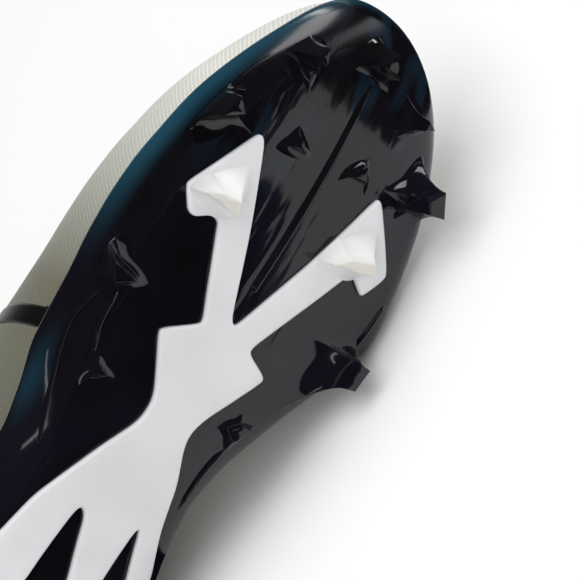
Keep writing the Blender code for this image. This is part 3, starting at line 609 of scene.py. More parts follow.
def addStud(bm, litRiseAndTipMark, place, tipHeight, arms, carrier, shape):
    # a moulded stud: its arms sweep tangentially out of the sole and rise to a small flat tip
    cx, cy = place[0] * last["length"], place[1] * last["ball"]
    rootY = cy
    while edgeShare(cx, rootY) > plate["centreLimit"]:
        rootY += (ridgeAt(cx) - rootY) * studMesh["centrePull"]
    outline = studOutline(arms, studMesh["sides"] // len(arms), shape)
    feet = []
    for angle, reach, _ in outline:
        reach += studMesh["skirt"]
        x, y = cx + reach * math.cos(angle), rootY + reach * math.sin(angle)
        while edgeShare(x, y) > plate["rootLimit"]:
            x += (cx - x) * studMesh["rootPull"]
            y += (ridgeAt(cx) - y) * studMesh["rootPull"]
        feet.append((x, y))
    steps = [(k / studMesh["levels"], 0.0) for k in range(studMesh["levels"])]
    steps += [(1.0, 0.0), (1.0, 0.25), (1.0, 0.5), (1.0, 0.75), (1.0, 1.0)]
    rings = []
    for turn, rounded in steps:
        theta = 0.5 * math.pi * turn
        level = math.sin(theta) ** shape["flare"]
        outward = math.cos(theta) ** shape["flare"] if turn < 1.0 else 0.0
        ring = []
        for (angle, reach, corner), foot in zip(outline, feet):
            corner = corner * (1.0 - shape["tipRound"] * rounded ** 2 / max(corner.length, 1.0))
            tx, ty = cx + corner.x, cy + corner.y
            x, y = tx + (foot[0] - tx) * outward, ty + (foot[1] - ty) * outward
            base = soleZ(x, y, plate["rootLimit"]) - carrier + studMesh["sunk"] - soleCrown(x, y)
            top = tipHeight + shape["tipRound"] * (1.0 - rounded) ** 1.5
            vert = bm.verts.new((x, y, base + (top - base) * level))
            # painted light: the first half of this mark lightens each stud as it rises, for flanks that face
            # the lamps; the second half marks the rounded tip
            vert[litRiseAndTipMark] = 0.5 * min(1.0, studMesh["litRiseSpeed"] * level) + 0.5 * rounded
            ring.append(vert)
        rings.append(ring)
    count = len(outline)
    bridgeRings(bm, rings)
    for ring, deeper in ((rings[-1], 0.0), (rings[0], studMesh["capDepth"])):
        middle = sum((vert.co for vert in ring), Vector()) / count
        cap = bm.verts.new(middle + Vector((0.0, 0.0, deeper)))
        cap[litRiseAndTipMark] = ring[0][litRiseAndTipMark]
        for k in range(count):
            bm.faces.new((ring[k], ring[(k + 1) % count], cap))


def addRib(bm, line, width, height, carrier, taper, lean):
    # a low rounded rib along a plan line; lean moves its crest to one side
    path = smoothLine([Vector((x, y, 0.0)) for x, y in line], ribMesh["sections"])
    rings = []
    for i, point in enumerate(path):
        along = (path[min(i + 1, len(path) - 1)] - path[max(i - 1, 0)]).normalized()
        side = Vector((-along.y, along.x, 0.0))
        t = i / (len(path) - 1)
        ends = min(taper[0] + (1.0 - taper[0]) * min(t / ribMesh["endShare"], 1.0),
                   taper[1] + (1.0 - taper[1]) * min((1.0 - t) / ribMesh["endShare"], 1.0))
        half = 0.5 * width * (1.0 - ribMesh["narrowing"] * (1.0 - ends))
        ring = []
        for k in range(ribMesh["across"] + 1):
            a = k / ribMesh["across"] * 2.0 - 1.0
            p = point + side * (a * half)
            bent = abs((a - lean) / (1.0 - lean if a > lean else 1.0 + lean))
            full = max(0.0, 1.0 - (bent if lean else bent * bent)) ** ribMesh["crest"]
            lift = height * ends * full - ribMesh["edge"]
            z = soleZ(p.x, p.y, plate["ribLimit"]) - carrier - soleCrown(p.x, p.y) - lift
            ring.append(bm.verts.new((p.x, p.y, z)))
        ring.append(bm.verts.new((point.x, point.y, ring[0].co.z + ribMesh["depth"])))
        rings.append(ring)
    bridgeRings(bm, rings)
    bm.faces.new(rings[0])
    bm.faces.new(rings[-1][::-1])


def smoothLine(points, count):
    # Catmull-Rom through the points, sixteen steps to a span, then evenly spread
    steps = 16
    if len(points) == 2:
        return [points[0].lerp(points[1], k / (count - 1)) for k in range(count)]
    padded = [points[0] * 2 - points[1]] + list(points) + [points[-1] * 2 - points[-2]]
    fine = []
    for i in range(1, len(padded) - 2):
        a, b, c, d = padded[i - 1:i + 3]
        for k in range(steps):
            t = k / steps
            fine.append(0.5 * ((2 * b) + (c - a) * t + (2 * a - 5 * b + 4 * c - d) * t * t
                               + (3 * b - a - 3 * c + d) * t ** 3))
    fine.append(padded[-2])
    lengths = [0.0]
    for a, b in zip(fine, fine[1:]):
        lengths.append(lengths[-1] + (b - a).length)
    out = []
    j = 0
    for k in range(count):
        want = lengths[-1] * k / (count - 1)
        while j < len(lengths) - 2 and lengths[j + 1] < want:
            j += 1
        t = (want - lengths[j]) / max(lengths[j + 1] - lengths[j], 1e-9)
        out.append(fine[j].lerp(fine[j + 1], min(t, 1.0)))
    return out


def makePlate(material):
    columns = denseColumns(plate["sideStep"], plate["fan"])
    depth = plate["soleRows"]
    points = []
    for col, side in columns:
        rim = qRim(col, side)
        shares = [1.0 - (1.0 - j / depth) ** plate["rowSpread"] for j in range(depth + 1)]
        points.append([sectionPoint(col, -1.0 + (rim + 1.0) * share) for share in shares])
    directions = gridNormals(points)
    rimGap = []
    for line in points:
        gaps = [0.0]
        for a, b in zip(line[::-1], line[-2::-1]):
            gaps.append(gaps[-1] + (b - a).length)
        rimGap.append(gaps[::-1])

    def toeward(k, j, which):
        return points[k][j].x / last["length"]

    def swelling(k, j):
        # a soft flange on the outer edge at the waist
        if columns[k][1] > 0:
            return 0.0
        along = (points[k][j].x - flange["place"]) / flange["length"]
        across = (rimGap[k][j] - flange["inward"]) / flange["width"]
        return math.exp(-along * along - across * across)

    def outer(k, j):
        p = points[k][j]
        fade = min(1.0, (depth - j) / plate["rimRows"])
        return (plateOuter - plate["rimThin"] * (1.0 - fade) ** 1.5 + soleCrown(p.x, p.y)
                + flange["height"] * swelling(k, j))

    def thin(k, j):
        start = plateLook["outerThinStart" if columns[k][1] < 0 else "innerThinStart"]
        return smooth((toeward(k, j, 1) - start) / plateLook["thinSpan"])

    def clearness(k, j, which):
        near = smooth((plateLook["clearWidth"] - rimGap[k][j]) / plateLook["clearFade"])
        return max(thin(k, j) * near, 0.5 * swelling(k, j) ** 1.5)

    # pale rim edge toward the toe: partly where the clear plate is thinnest over the white upper, partly a
    # painted highlight for the bright line along the rim
    def lipAndHighlight(k, j, which):
        return thin(k, j) * smooth(1.0 - rimGap[k][j] / plateLook["lipAndHighlightWidth"])

    def rippled(k, j, which):
        # the flat of the sole shows flow ripples, the rim and the tip of the toe are smooth
        inward = smooth((rimGap[k][j] - plateLook["ripplesFrom"]) / plateLook["ripplesFade"])
        return inward * smooth((plateLook["ripplesEnd"] - toeward(k, j, which)) / plateLook["ripplesEndFade"])

    bm = wallMesh(points, directions, lambda k, j: walls["gap"], outer,
                  marks={"clearness": clearness, "lipAndHighlight": lipAndHighlight, "toeward": toeward, "rippled": rippled})
    tip = bm.verts.layers.float.new("tip")
    for name, place, height, arms in edgeStuds:
        addStud(bm, tip, place, height, arms, plateOuter, plateStud)
    for width, height, taper, lean, line in plateRibs:
        addRib(bm, line, width, height, plateOuter, taper, lean)
    piece = finishMesh("mouldedPlate", bm, material)
    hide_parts("outsole")


print("stage 4: white spine layer")
spineOutline = (
    (0.838, -0.075), (0.769, -0.219), (0.763, -0.221), (0.736, -0.178), (0.748, -0.112), (0.744, -0.085),
    (0.736, -0.078), (0.678, -0.025), (0.650, 0.003), (0.645, 0.000), (0.626, -0.106), (0.621, -0.112),
    (0.561, -0.035), (0.545, -0.034), (0.530, -0.044), (0.495, -0.107), (0.423, -0.221), (0.350, -0.296),
    (0.312, -0.298), (0.300, -0.270), (0.312, -0.205), (0.337, -0.147), (0.426, -0.086), (0.431, -0.072),
    (0.423, -0.049), (0.356, -0.012), (0.225, -0.025), (0.205, 0.005), (0.225, 0.040), (0.370, 0.091),
    (0.431, 0.124), (0.432, 0.136), (0.381, 0.170), (0.320, 0.198), (0.303, 0.226), (0.314, 0.256),
    (0.340, 0.262), (0.393, 0.254), (0.438, 0.208), (0.486, 0.179), (0.526, 0.133), (0.543, 0.130),
    (0.561, 0.153), (0.614, 0.262), (0.620, 0.270), (0.625, 0.258), (0.638, 0.189), (0.645, 0.189),
    (0.699, 0.288), (0.748, 0.379), (0.753, 0.390), (0.750, 0.406), (0.738, 0.448), (0.738, 0.459),
    (0.763, 0.511), (0.770, 0.507), (0.829, 0.400), (0.833, 0.385), (0.829, 0.372), (0.747, 0.250),
    (0.708, 0.188), (0.664, 0.120), (0.657, 0.104), (0.661, 0.087), (0.690, 0.064), (0.750, 0.021),
    (0.836, -0.045), (0.841, -0.060))
spine = dict(cornerCut=1.6, spacing=1.1, edgeRound=1.0, skirt=0.35, gridStep=2.6, gridClear=0.8, proud=0.25,
             sunk=0.3)
spineStud = dict(valley=5.6, waisted=0.62, hollow=1.8, flare=2.6, tipRound=0.8)   # fuller and softer
spineStuds = (
    ("spineLateral", (0.765, -0.134), 0.5,
     ((30.0, 13.6, 1.7, 4.6), (130.0, 6.8, -2.6, 5.2), (212.0, 5.0, -0.9, -1.2), (268.0, 7.4, -0.2, -8.4),
      (325.0, 6.6, 1.9, -2.2))),
    ("spineMedial", (0.762, 0.347), 0.5,
     ((32.0, 12.8, 2.9, 5.3), (102.0, 7.0, -0.6, 6.4), (190.0, 4.8, -1.5, 0.6), (250.0, 8.2, -2.1, -7.0),
      (318.0, 6.6, 1.4, -2.6))))


def roundedOutline():
    # cuts each corner three times by smaller and smaller steps, then spreads points evenly
    line = [Vector((x * last["length"], y * last["ball"])) for x, y in spineOutline]
    for cut in (spine["cornerCut"], 0.5 * spine["cornerCut"], 0.25 * spine["cornerCut"]):
        fresh = []
        for i, point in enumerate(line):
            before, after = line[i - 1], line[(i + 1) % len(line)]
            for other in (before, after):
                gap = other - point
                fresh.append(point + gap * min(0.25, cut / max(gap.length, 1e-6)))
        line = fresh
    out = []
    for i, a in enumerate(line):
        b = line[(i + 1) % len(line)]
        parts = max(1, int((b - a).length / spine["spacing"]))
        out += [a.lerp(b, k / parts) for k in range(parts)]
    return out


def insetLine(line, distance):
    # every point of a closed line moved inward, square to its neighbours
    out = []
    for i, point in enumerate(line):
        before, after = line[i - 1], line[(i + 1) % len(line)]
        along = (after - before).normalized()
        out.append(point + Vector((-along.y, along.x)) * distance)
    return out


def makeSpine(material):
    outline = roundedOutline()
    area = sum(a.x * b.y - a.y * b.x for a, b in zip(outline, outline[1:] + outline[:1]))
    if area < 0.0:
        outline.reverse()
    base = plateOuter + walls["gap"]
    top = walls["spine"] + spine["proud"]
    bend = (0.4, 0.8, 1.2, 0.5 * math.pi)
    rings = [(0.0, 0.0), (0.0, spine["skirt"])]
    rise = 1.0 - spine["skirt"]
    rings += [(spine["edgeRound"] * (1.0 - math.cos(a)), spine["skirt"] + rise * math.sin(a)) for a in bend]
    bm = bmesh.new()
    tip = bm.verts.layers.float.new("tip")

    def onLayer(x, y, lift):
        return bm.verts.new((x, y, soleZ(x, y) - base - lift - soleCrown(x, y)))

    made = [[onLayer(p.x, p.y, top * share if share else -spine["sunk"]) for p in insetLine(outline, inset)]
            for inset, share in rings]
    bridgeRings(bm, made)
    count = len(outline)
    for ring, lift in ((made[-1], top), (made[0], -spine["sunk"])):
        flat = [Vector((v.co.x, v.co.y)) for v in ring]
        inner = []
        x = min(p.x for p in flat)
        while x < max(p.x for p in flat):
            y = min(p.y for p in flat)
            while y < max(p.y for p in flat):
                if insideOutline(Vector((x, y)), flat, spine["gridClear"]):
                    inner.append(Vector((x, y)))
                y += spine["gridStep"]
            x += spine["gridStep"]
        loops = [(i, (i + 1) % count) for i in range(count)]
        verts, _, faces, origin, _, _ = delaunay_2d_cdt(flat + inner, loops, [list(range(count))], 1, 1e-5)
        placed = []
        for i, p in enumerate(verts):
            first = origin[i][0] if origin[i] else -1
            placed.append(ring[first] if 0 <= first < count else onLayer(p.x, p.y, lift))
        for face in faces:
            try:
                bm.faces.new([placed[i] for i in face])
            except ValueError:
                continue
    for name, place, height, arms in spineStuds:
        addStud(bm, tip, place, height, arms, base + top, spineStud)
    piece = finishMesh("spineLayer", bm, material, weld=0.002)
    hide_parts("spine")


def insideOutline(point, line, clear):
    # true inside the line and at least clear away from it
    hit = False
    for i, a in enumerate(line):
        b = line[(i + 1) % len(line)]
        if (a.y > point.y) != (b.y > point.y):
            if point.x < a.x + (b.x - a.x) * (point.y - a.y) / (b.y - a.y):
                hit = not hit
        along = b - a
        t = max(0.0, min(1.0, (point - a).dot(along) / max(along.length_squared, 1e-9)))
        if (a + along * t - point).length < clear:
            return False
    return hit


print("stage 5: knitted upper")
upper = dict(sideStep=2.8, fan=26, marginStart=0.5, marginRows=6, wallRows=40, rollRows=3.0, roll=0.62,
             collarPad=2.2, padRows=16, padFront=118.0)


def makeUpper(material):
    columns = denseColumns(upper["sideStep"], upper["fan"])
    points = []
    start = upper["marginStart"]
    shares = [start + (1.0 - start) * k / upper["marginRows"] for k in range(upper["marginRows"])]
    for col, side in columns:
        rim, top = qRim(col, side), qTop(col)
        rows = [-1.0 + (rim + 1.0) * share for share in shares]
        rows += [rim + (top - rim) * k / upper["wallRows"] for k in range(upper["wallRows"] + 1)]
        points.append([sectionPoint(col, q) for q in rows])
    directions = gridNormals(points)
    depth = len(points[0]) - 1
    isOpen = [throatHalf(col[0][0]) > 0.0 for col, side in columns]

    def roll(k, j):
        # the free edge is rounded over; closed sections have none
        if not isOpen[k]:
            return 0.0
        return upper["roll"] * max(0.0, 1.0 - (depth - j) / upper["rollRows"]) ** 2

    def padding(k, j):
        # the collar is padded toward the foot near the topline
        if not isOpen[k] or depth - j >= upper["padRows"]:
            return 0.0
        near = max(0.0, 1.0 - columns[k][0][1][0] / upper["padFront"]) ** 0.5
        return upper["collarPad"] * near * math.sin(math.pi * (depth - j) / upper["padRows"])

    bm = wallMesh(points, directions, lambda k, j: roll(k, j) - walls["upper"] - padding(k, j),
                  lambda k, j: -roll(k, j),
                  marks={"inside": lambda k, j, which: 1.0 - which,
                         "toeward": lambda k, j, which: points[k][j].x / last["length"]})
    piece = finishMesh("knitUpper", bm, material)
    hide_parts("upper")


def onUpper(x, side, q, offset):
    # a point on one side of the last, moved out along the normal there, and that normal
    step, turn = 0.5, 0.002
    here, below = (sectionPoint(columnAt("side", x, side), at) for at in (q, q - turn))
    ahead, behind = (sectionPoint(columnAt("side", x + at, side), q) for at in (step, -step))
    normal = (ahead - behind).cross(below - here).normalized()
    if normal.dot(here - Vector((x, ridgeAt(x), here.z - 20.0))) < 0.0:
        normal.negate()
    return here + normal * offset, normal


def onCrown(x, beside, offset):
    # the same, for a distance beside the ridge
    side = -1 if beside < 0.0 else 1
    return onUpper(x, side, qAtOffset(columnAt("side", x, side), abs(beside)), offset)


print("stage 6: tongue, insole and lace")
tongue = dict(stations=72, steps=28, sidePower=5, endFade=22.0, tipFull=0.1, thinnest=0.25,
              channels=6, channelDepth=0.7, channelWidth=0.006)
laceLook = dict(sections=30, across=16, tuck=3.2, archLift=0.5, over=0.5, overSpread=0.03, dive=0.10,
                narrowing=0.42, clothAlong=0.35, clothAcross=0.14)
eyelet = dict(radius=2.6, wall=0.9, height=0.42, lift=0.25, around=28, section=10)
insole = dict(sideStep=5.0, fan=12, rows=10, reach=0.62, bevelStart=0.75, bevel=0.45)


def makeTongue(material):
    # padded sheet under the throat, sewn across in channels
    front = throat["front"] + 0.5 * throat["rounding"]
    half = throat["half"] + throat["tongueOverlap"]
    middle = -walls["upper"] - walls["tongueGap"] - 0.5 * walls["tongue"]
    low, high = [], []
    bm = bmesh.new()
    for i in range(tongue["stations"] + 1):
        t = i / tongue["stations"]
        x = front + (throat["tongueTip"] - front) * t
        fullness = min(1.0, (1.0 - t) * tongue["endFade"], t * tongue["endFade"] + tongue["tipFull"]) ** 0.5
        seam = ((t * tongue["channels"]) % 1.0 - 0.5) ** 2
        groove = tongue["channelDepth"] * math.exp(-seam / tongue["channelWidth"])
        for sheet, up in ((low, False), (high, True)):
            line = []
            for k in range(tongue["steps"] + 1):
                s = 2.0 * k / tongue["steps"] - 1.0
                thin = (1.0 - abs(s) ** tongue["sidePower"]) ** 0.5 * fullness
                pad = 0.5 * walls["tongue"] * (tongue["thinnest"] + (1.0 - tongue["thinnest"]) * thin)
                offset = middle + (pad - groove * thin if up else -pad)
                line.append(bm.verts.new(onCrown(x, half * s, offset)[0]))
            sheet.append(line)
    closeSlab(bm, low, high)
    piece = finishMesh("paddedTongue", bm, material)
    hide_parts("tongue")


def laceRow(row):
    # how far from the heel a row of eyelets lies
    return lacing["front"] + (lacing["back"] - lacing["front"]) / lacing["crossings"] * row


def makeLace(material):
    # flat woven bars from eyelet to eyelet, alternately over and under where they cross, and a straight one
    reach = throat["half"] + lacing["inset"]
    bars = []
    for row in range(lacing["crossings"]):
        for side in (-1, 1):
            over = laceLook["over"] * side * (-1) ** row
            bars.append(((laceRow(row), side * reach), (laceRow(row + 1), -side * reach), over))
    bars.append(((laceRow(0), -reach), (laceRow(0), reach), 0.0))
    count = laceLook["across"]
    bm = bmesh.new()
    flat = bm.loops.layers.uv.new("cloth")
    for start, end, over in bars:
        start, end = Vector(start), Vector(end)
        rings = []
        for i in range(laceLook["sections"] + 1):
            t = i / laceLook["sections"]
            dive = max(0.0, 1.0 - min(t, 1.0 - t) / laceLook["dive"])
            lift = lacing["clearance"] + 0.5 * lacing["thickness"]
            lift += over * math.exp(-(t - 0.5) ** 2 / laceLook["overSpread"])
            lift += laceLook["archLift"] * math.sin(math.pi * t) - laceLook["tuck"] * dive ** 1.6
            middle, up = onCrown(*start.lerp(end, t), lift)
            ahead = onCrown(*(start.lerp(end, t) + (end - start) * 0.01), lift)[0]
            across = up.cross((ahead - middle).normalized()).normalized()
            width = lacing["width"] * (1.0 - laceLook["narrowing"] * dive)
            ring = []
            for k in range(count):
                a = 2.0 * math.pi * k / count
                c, s = math.cos(a), math.sin(a)
                wide = 0.5 * width * math.copysign(abs(c) ** 0.7, c)
                thick = 0.5 * lacing["thickness"] * math.copysign(abs(s) ** 0.8, s)
                ring.append(bm.verts.new(middle + across * wide + up * thick))
            rings.append(ring)
        for at, face in enumerate(bridgeRings(bm, rings)):
            i, k = divmod(at, count)
            for loop, (a, b) in zip(face.loops, ((i, k), (i, k + 1), (i + 1, k + 1), (i + 1, k))):
                loop[flat].uv = (a / laceLook["sections"] * laceLook["clothAlong"],
                                 b / count * laceLook["clothAcross"])
        bm.faces.new(rings[0])
        bm.faces.new(rings[-1])
    piece = finishMesh("wovenLace", bm, material, weld=0)
    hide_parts("lace")


def makeEyelets(material):
    # a stitched ring of cord round each lace hole
    reach = throat["half"] + lacing["inset"]
    bm = bmesh.new()
    for place in [(laceRow(row), side * reach) for row in range(lacing["crossings"] + 1) for side in (-1, 1)]:
        middle, up = onCrown(*place, eyelet["lift"])
        along = Vector((1.0, 0.0, 0.0))
        along = (along - up * along.dot(up)).normalized()
        side = up.cross(along)
        rings = []
        for i in range(eyelet["around"]):
            a = 2.0 * math.pi * i / eyelet["around"]
            outward = along * math.cos(a) + side * math.sin(a)
            ring = []
            for k in range(eyelet["section"]):
                b = 2.0 * math.pi * k / eyelet["section"]
                radius = eyelet["radius"] + 0.5 * eyelet["wall"] * math.cos(b)
                ring.append(bm.verts.new(middle + outward * radius + up * (eyelet["height"] * math.sin(b))))
            rings.append(ring)
        bridgeRings(bm, rings, joinEnds=True)
    finishMesh("eyeletRings", bm, material, weld=0)


def makeInsole(material):
    columns = denseColumns(insole["sideStep"], insole["fan"])
    points = []
    for col, side in columns:
        span = (qRim(col, side) + 1.0) * insole["reach"]
        points.append([sectionPoint(col, -1.0 + span * j / insole["rows"])
                       for j in range(insole["rows"] + 1)])
    top = -walls["upper"] - walls["gap"]

    def inner(k, j):
        past = max(0.0, (j / insole["rows"] - insole["bevelStart"]) / (1.0 - insole["bevelStart"]))
        return top - walls["insole"] * (1.0 - insole["bevel"] * past)

    bm = wallMesh(points, gridNormals(points), inner, lambda k, j: top)
    piece = finishMesh("foamInsole", bm, material)
    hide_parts("insole")


print("stage 7: seams, band and stitches")
band = dict(place=163.5, width=6.2, sweep=12.0, top=0.62, tuck=0.02, proud=0.35, sunk=0.3, rows=32, steps=8)
stitch = dict(length=2.1, gap=0.9, radius=0.24, lift=0.1, sides=6)
# rows of stitches: beside the throat from place to place, and along the collar under the topline
throatSeams = dict(start=188.0, end=118.0, points=260, besides=(2.2, 12.5))
collarSeam = dict(start=112.0, end=36.0, points=420, below=0.03)


def makeBand(material):
    # a plain dark band of film pressed on to the outer side at the waist
    low = qRim(columnAt("side", band["place"], -1), -1) - band["tuck"]
    bm = bmesh.new()
    sheets = []
    for offset in (-band["sunk"], band["proud"]):
        sheet = []
        for i in range(band["rows"] + 1):
            t = i / band["rows"]
            line = []
            for k in range(band["steps"] + 1):
                x = band["place"] - band["sweep"] * t * t + band["width"] * (k / band["steps"] - 0.5)
                drop = band["sunk"] if offset > 0 and k in (0, band["steps"]) else 0.0
                line.append(bm.verts.new(onUpper(x, -1, low + (band["top"] - low) * t, offset - drop)[0]))
            sheet.append(line)
        sheets.append(sheet)
    closeSlab(bm, *sheets)
    finishMesh("sideBand", bm, material)


def addThread(bm, a, b, up):
    # one short rounded stitch whose ends dip into the cloth
    side = (b - a).cross(up).normalized()
    rings = []
    for share, size, lift in ((0.0, 0.25, -0.25), (0.15, 0.9, 0.0), (0.5, 1.0, 0.1), (0.85, 0.9, 0.0),
                              (1.0, 0.25, -0.25)):
        middle = a.lerp(b, share) + up * lift
        ring = []
        for k in range(stitch["sides"]):
            angle = 2.0 * math.pi * k / stitch["sides"]
            outward = side * math.cos(angle) + up * math.sin(angle)
            ring.append(bm.verts.new(middle + outward * stitch["radius"] * size))
        rings.append(ring)
    bridgeRings(bm, rings)
    bm.faces.new(rings[0])
    bm.faces.new(rings[-1])


def addStitches(bm, line):
    # stitches laid end to end along a line of (point, up)
    travelled = 0.0
    begin, up = line[0]
    for a, b in zip(line, line[1:]):
        travelled += (b[0] - a[0]).length
        if travelled >= stitch["length"] + stitch["gap"]:
            addThread(bm, begin, begin + (b[0] - begin).normalized() * stitch["length"], up)
            begin, up = b
            travelled = 0.0


def spread(seam):
    step = (seam["end"] - seam["start"]) / (seam["points"] - 1)
    return [seam["start"] + step * i for i in range(seam["points"])]


def makeStitches(material):
    bm = bmesh.new()
    for side in (-1, 1):
        for beside in throatSeams["besides"]:
            addStitches(bm, [onCrown(x, side * (throatHalf(x) + beside), stitch["lift"])
                             for x in spread(throatSeams)])
        line = []
        for x in spread(collarSeam):
            q = qTop(columnAt("side", x, side)) - collarSeam["below"]
            line.append(onUpper(x, side, q, stitch["lift"]))
        addStitches(bm, line)
    finishMesh("stitching", bm, material, weld=0)


print("stage 8: materials")


def mouldedTpuBlack():
    # polyurethane injected into a polished mould: glassy near-black with violet and navy clouds about 40 mm
    # across, clear teal where it thins out at the rim, a pale rim edge that is partly a painted highlight, and
    # faint ripples along the flow from heel to toe
    material, tree = newMaterial("mouldedPolyurethane")
    clearness = addNode(tree, "ShaderNodeAttribute", attribute_name="clearness").outputs["Fac"]
    lipAndHighlight = addNode(tree, "ShaderNodeAttribute", attribute_name="lipAndHighlight").outputs["Fac"]
    toeward = addNode(tree, "ShaderNodeAttribute", attribute_name="toeward").outputs["Fac"]
    place = addNode(tree, "ShaderNodeTexCoord").outputs["Object"]
    cloudy = addNode(tree, "ShaderNodeTexNoise", {"Scale": 26.0, "Detail": 3.0, "Roughness": 0.5},
                     {"Vector": place})
    tint = addNode(tree, "ShaderNodeValToRGB", links={"Fac": cloudy.outputs["Fac"]})
    for stop, at, code in zip(tint.color_ramp.elements, (0.36, 0.66), ("#0A0A0C", "#130F19")):
        stop.position = at
        stop.color = hexColour(code)
    turned = addNode(tree, "ShaderNodeMapping",   # drawn out along the shoe, which is the way the melt flowed
                     {"Rotation": (0.0, math.radians(-4.0), 0.0), "Scale": (9.0, 60.0, 60.0)},
                     {"Vector": place})
    patchy = addNode(tree, "ShaderNodeTexNoise", {"Scale": 1.9, "Detail": 1.0}, {"Vector": turned.outputs[0]})
    toeZone = addNode(tree, "ShaderNodeMapRange", {"From Min": 0.76, "From Max": 0.88},
                      {"Value": toeward})
    patch = addNode(tree, "ShaderNodeMapRange", {"From Min": 0.53, "From Max": 0.66, "To Max": 0.34},
                    {"Value": patchy.outputs["Fac"]})
    patches = addNode(tree, "ShaderNodeMath", links={0: toeZone.outputs[0], 1: patch.outputs[0]},
                      operation="MULTIPLY")
    clouded = addNode(tree, "ShaderNodeMix", {7: hexColour("#183447")},
                      {0: patches.outputs[0], 6: tint.outputs[0]}, data_type="RGBA")
    colour = addNode(tree, "ShaderNodeMix", {7: hexColour("#1A3E4E")},
                     {0: clearness, 6: clouded.outputs[2]}, data_type="RGBA")
    # pale rim edge: partly the thin clear edge over the white upper, partly a painted highlight along the rim
    lipAndHighlightShare = addNode(tree, "ShaderNodeMath", {1: 0.8}, {0: lipAndHighlight}, operation="MULTIPLY")
    paleLipAndHighlight = addNode(tree, "ShaderNodeMix", {7: hexColour("#7FB0C0")},
                      {0: lipAndHighlightShare.outputs[0], 6: colour.outputs[2]}, data_type="RGBA")
    ripple = addNode(tree, "ShaderNodeTexNoise", {"Scale": 2.6, "Detail": 2.0, "Roughness": 0.5},
                     {"Vector": turned.outputs[0]})
    rippled = addNode(tree, "ShaderNodeAttribute", attribute_name="rippled").outputs["Fac"]
    height = addNode(tree, "ShaderNodeMath", links={0: ripple.outputs["Fac"], 1: rippled},
                     operation="MULTIPLY")
    bump = addNode(tree, "ShaderNodeBump", {"Strength": 0.5, "Distance": 0.0011},
                   {"Height": height.outputs[0]})
    scuffed = addNode(tree, "ShaderNodeMapRange",   # the toe has lost some of its polish
                      {"From Min": 0.87, "From Max": 0.95, "To Min": 0.09, "To Max": 0.19},
                      {"Value": toeward})
    shader = addNode(tree, "ShaderNodeBsdfPrincipled",
                     {"IOR": 1.46, "Coat Weight": 0.08, "Coat Roughness": 0.03},
                     {"Base Color": paleLipAndHighlight.outputs[2], "Roughness": scuffed.outputs[0],
                      "Normal": bump.outputs[0]})
    addNode(tree, "ShaderNodeOutputMaterial", links={"Surface": shader.outputs[0]})
    return material


def mouldedTpuWhite():
    # white polyurethane layer over the plate: cool satin white with a mould grain of about 1 mm; its studs
    # painted brighter as painted light on flanks that face the lamps, and their rounded tips warm grey
    material, tree = newMaterial("mouldedWhitePolyurethane")
    tip = addNode(tree, "ShaderNodeAttribute", attribute_name="tip").outputs["Fac"]
    place = addNode(tree, "ShaderNodeTexCoord").outputs["Object"]
    mottle = addNode(tree, "ShaderNodeTexNoise", {"Scale": 60.0, "Detail": 2.0}, {"Vector": place})
    base = addNode(tree, "ShaderNodeValToRGB", links={"Fac": mottle.outputs["Fac"]})
    for stop, at, code in zip(base.color_ramp.elements, (0.35, 0.7), ("#D6D7D9", "#DDDEE0")):
        stop.position = at
        stop.color = hexColour(code)
    # painted light: stud flanks that face the lamps are lightened toward #F1F1F0
    paintedLitRise = addNode(tree, "ShaderNodeMapRange", {"From Max": 0.5}, {"Value": tip})
    roundedTipGrey = addNode(tree, "ShaderNodeMapRange", {"From Min": 0.5, "From Max": 1.0}, {"Value": tip})
    paintedLitStuds = addNode(tree, "ShaderNodeMix", {7: hexColour("#F1F1F0")},
                     {0: paintedLitRise.outputs[0], 6: base.outputs[0]}, data_type="RGBA")
    # the rounded stud tips turn warm grey
    colour = addNode(tree, "ShaderNodeMix", {7: hexColour("#D3D1C8")},
                     {0: roundedTipGrey.outputs[0], 6: paintedLitStuds.outputs[2]}, data_type="RGBA")
    grain = addNode(tree, "ShaderNodeTexNoise", {"Scale": 900.0, "Detail": 2.0}, {"Vector": place})
    bump = addNode(tree, "ShaderNodeBump", {"Strength": 0.12, "Distance": 0.0002},
                   {"Height": grain.outputs["Fac"]})
    shader = addNode(tree, "ShaderNodeBsdfPrincipled", {"Roughness": 0.34, "IOR": 1.5},
                     {"Base Color": colour.outputs[2], "Normal": bump.outputs[0]})
    addNode(tree, "ShaderNodeOutputMaterial", links={"Surface": shader.outputs[0]})
    return material


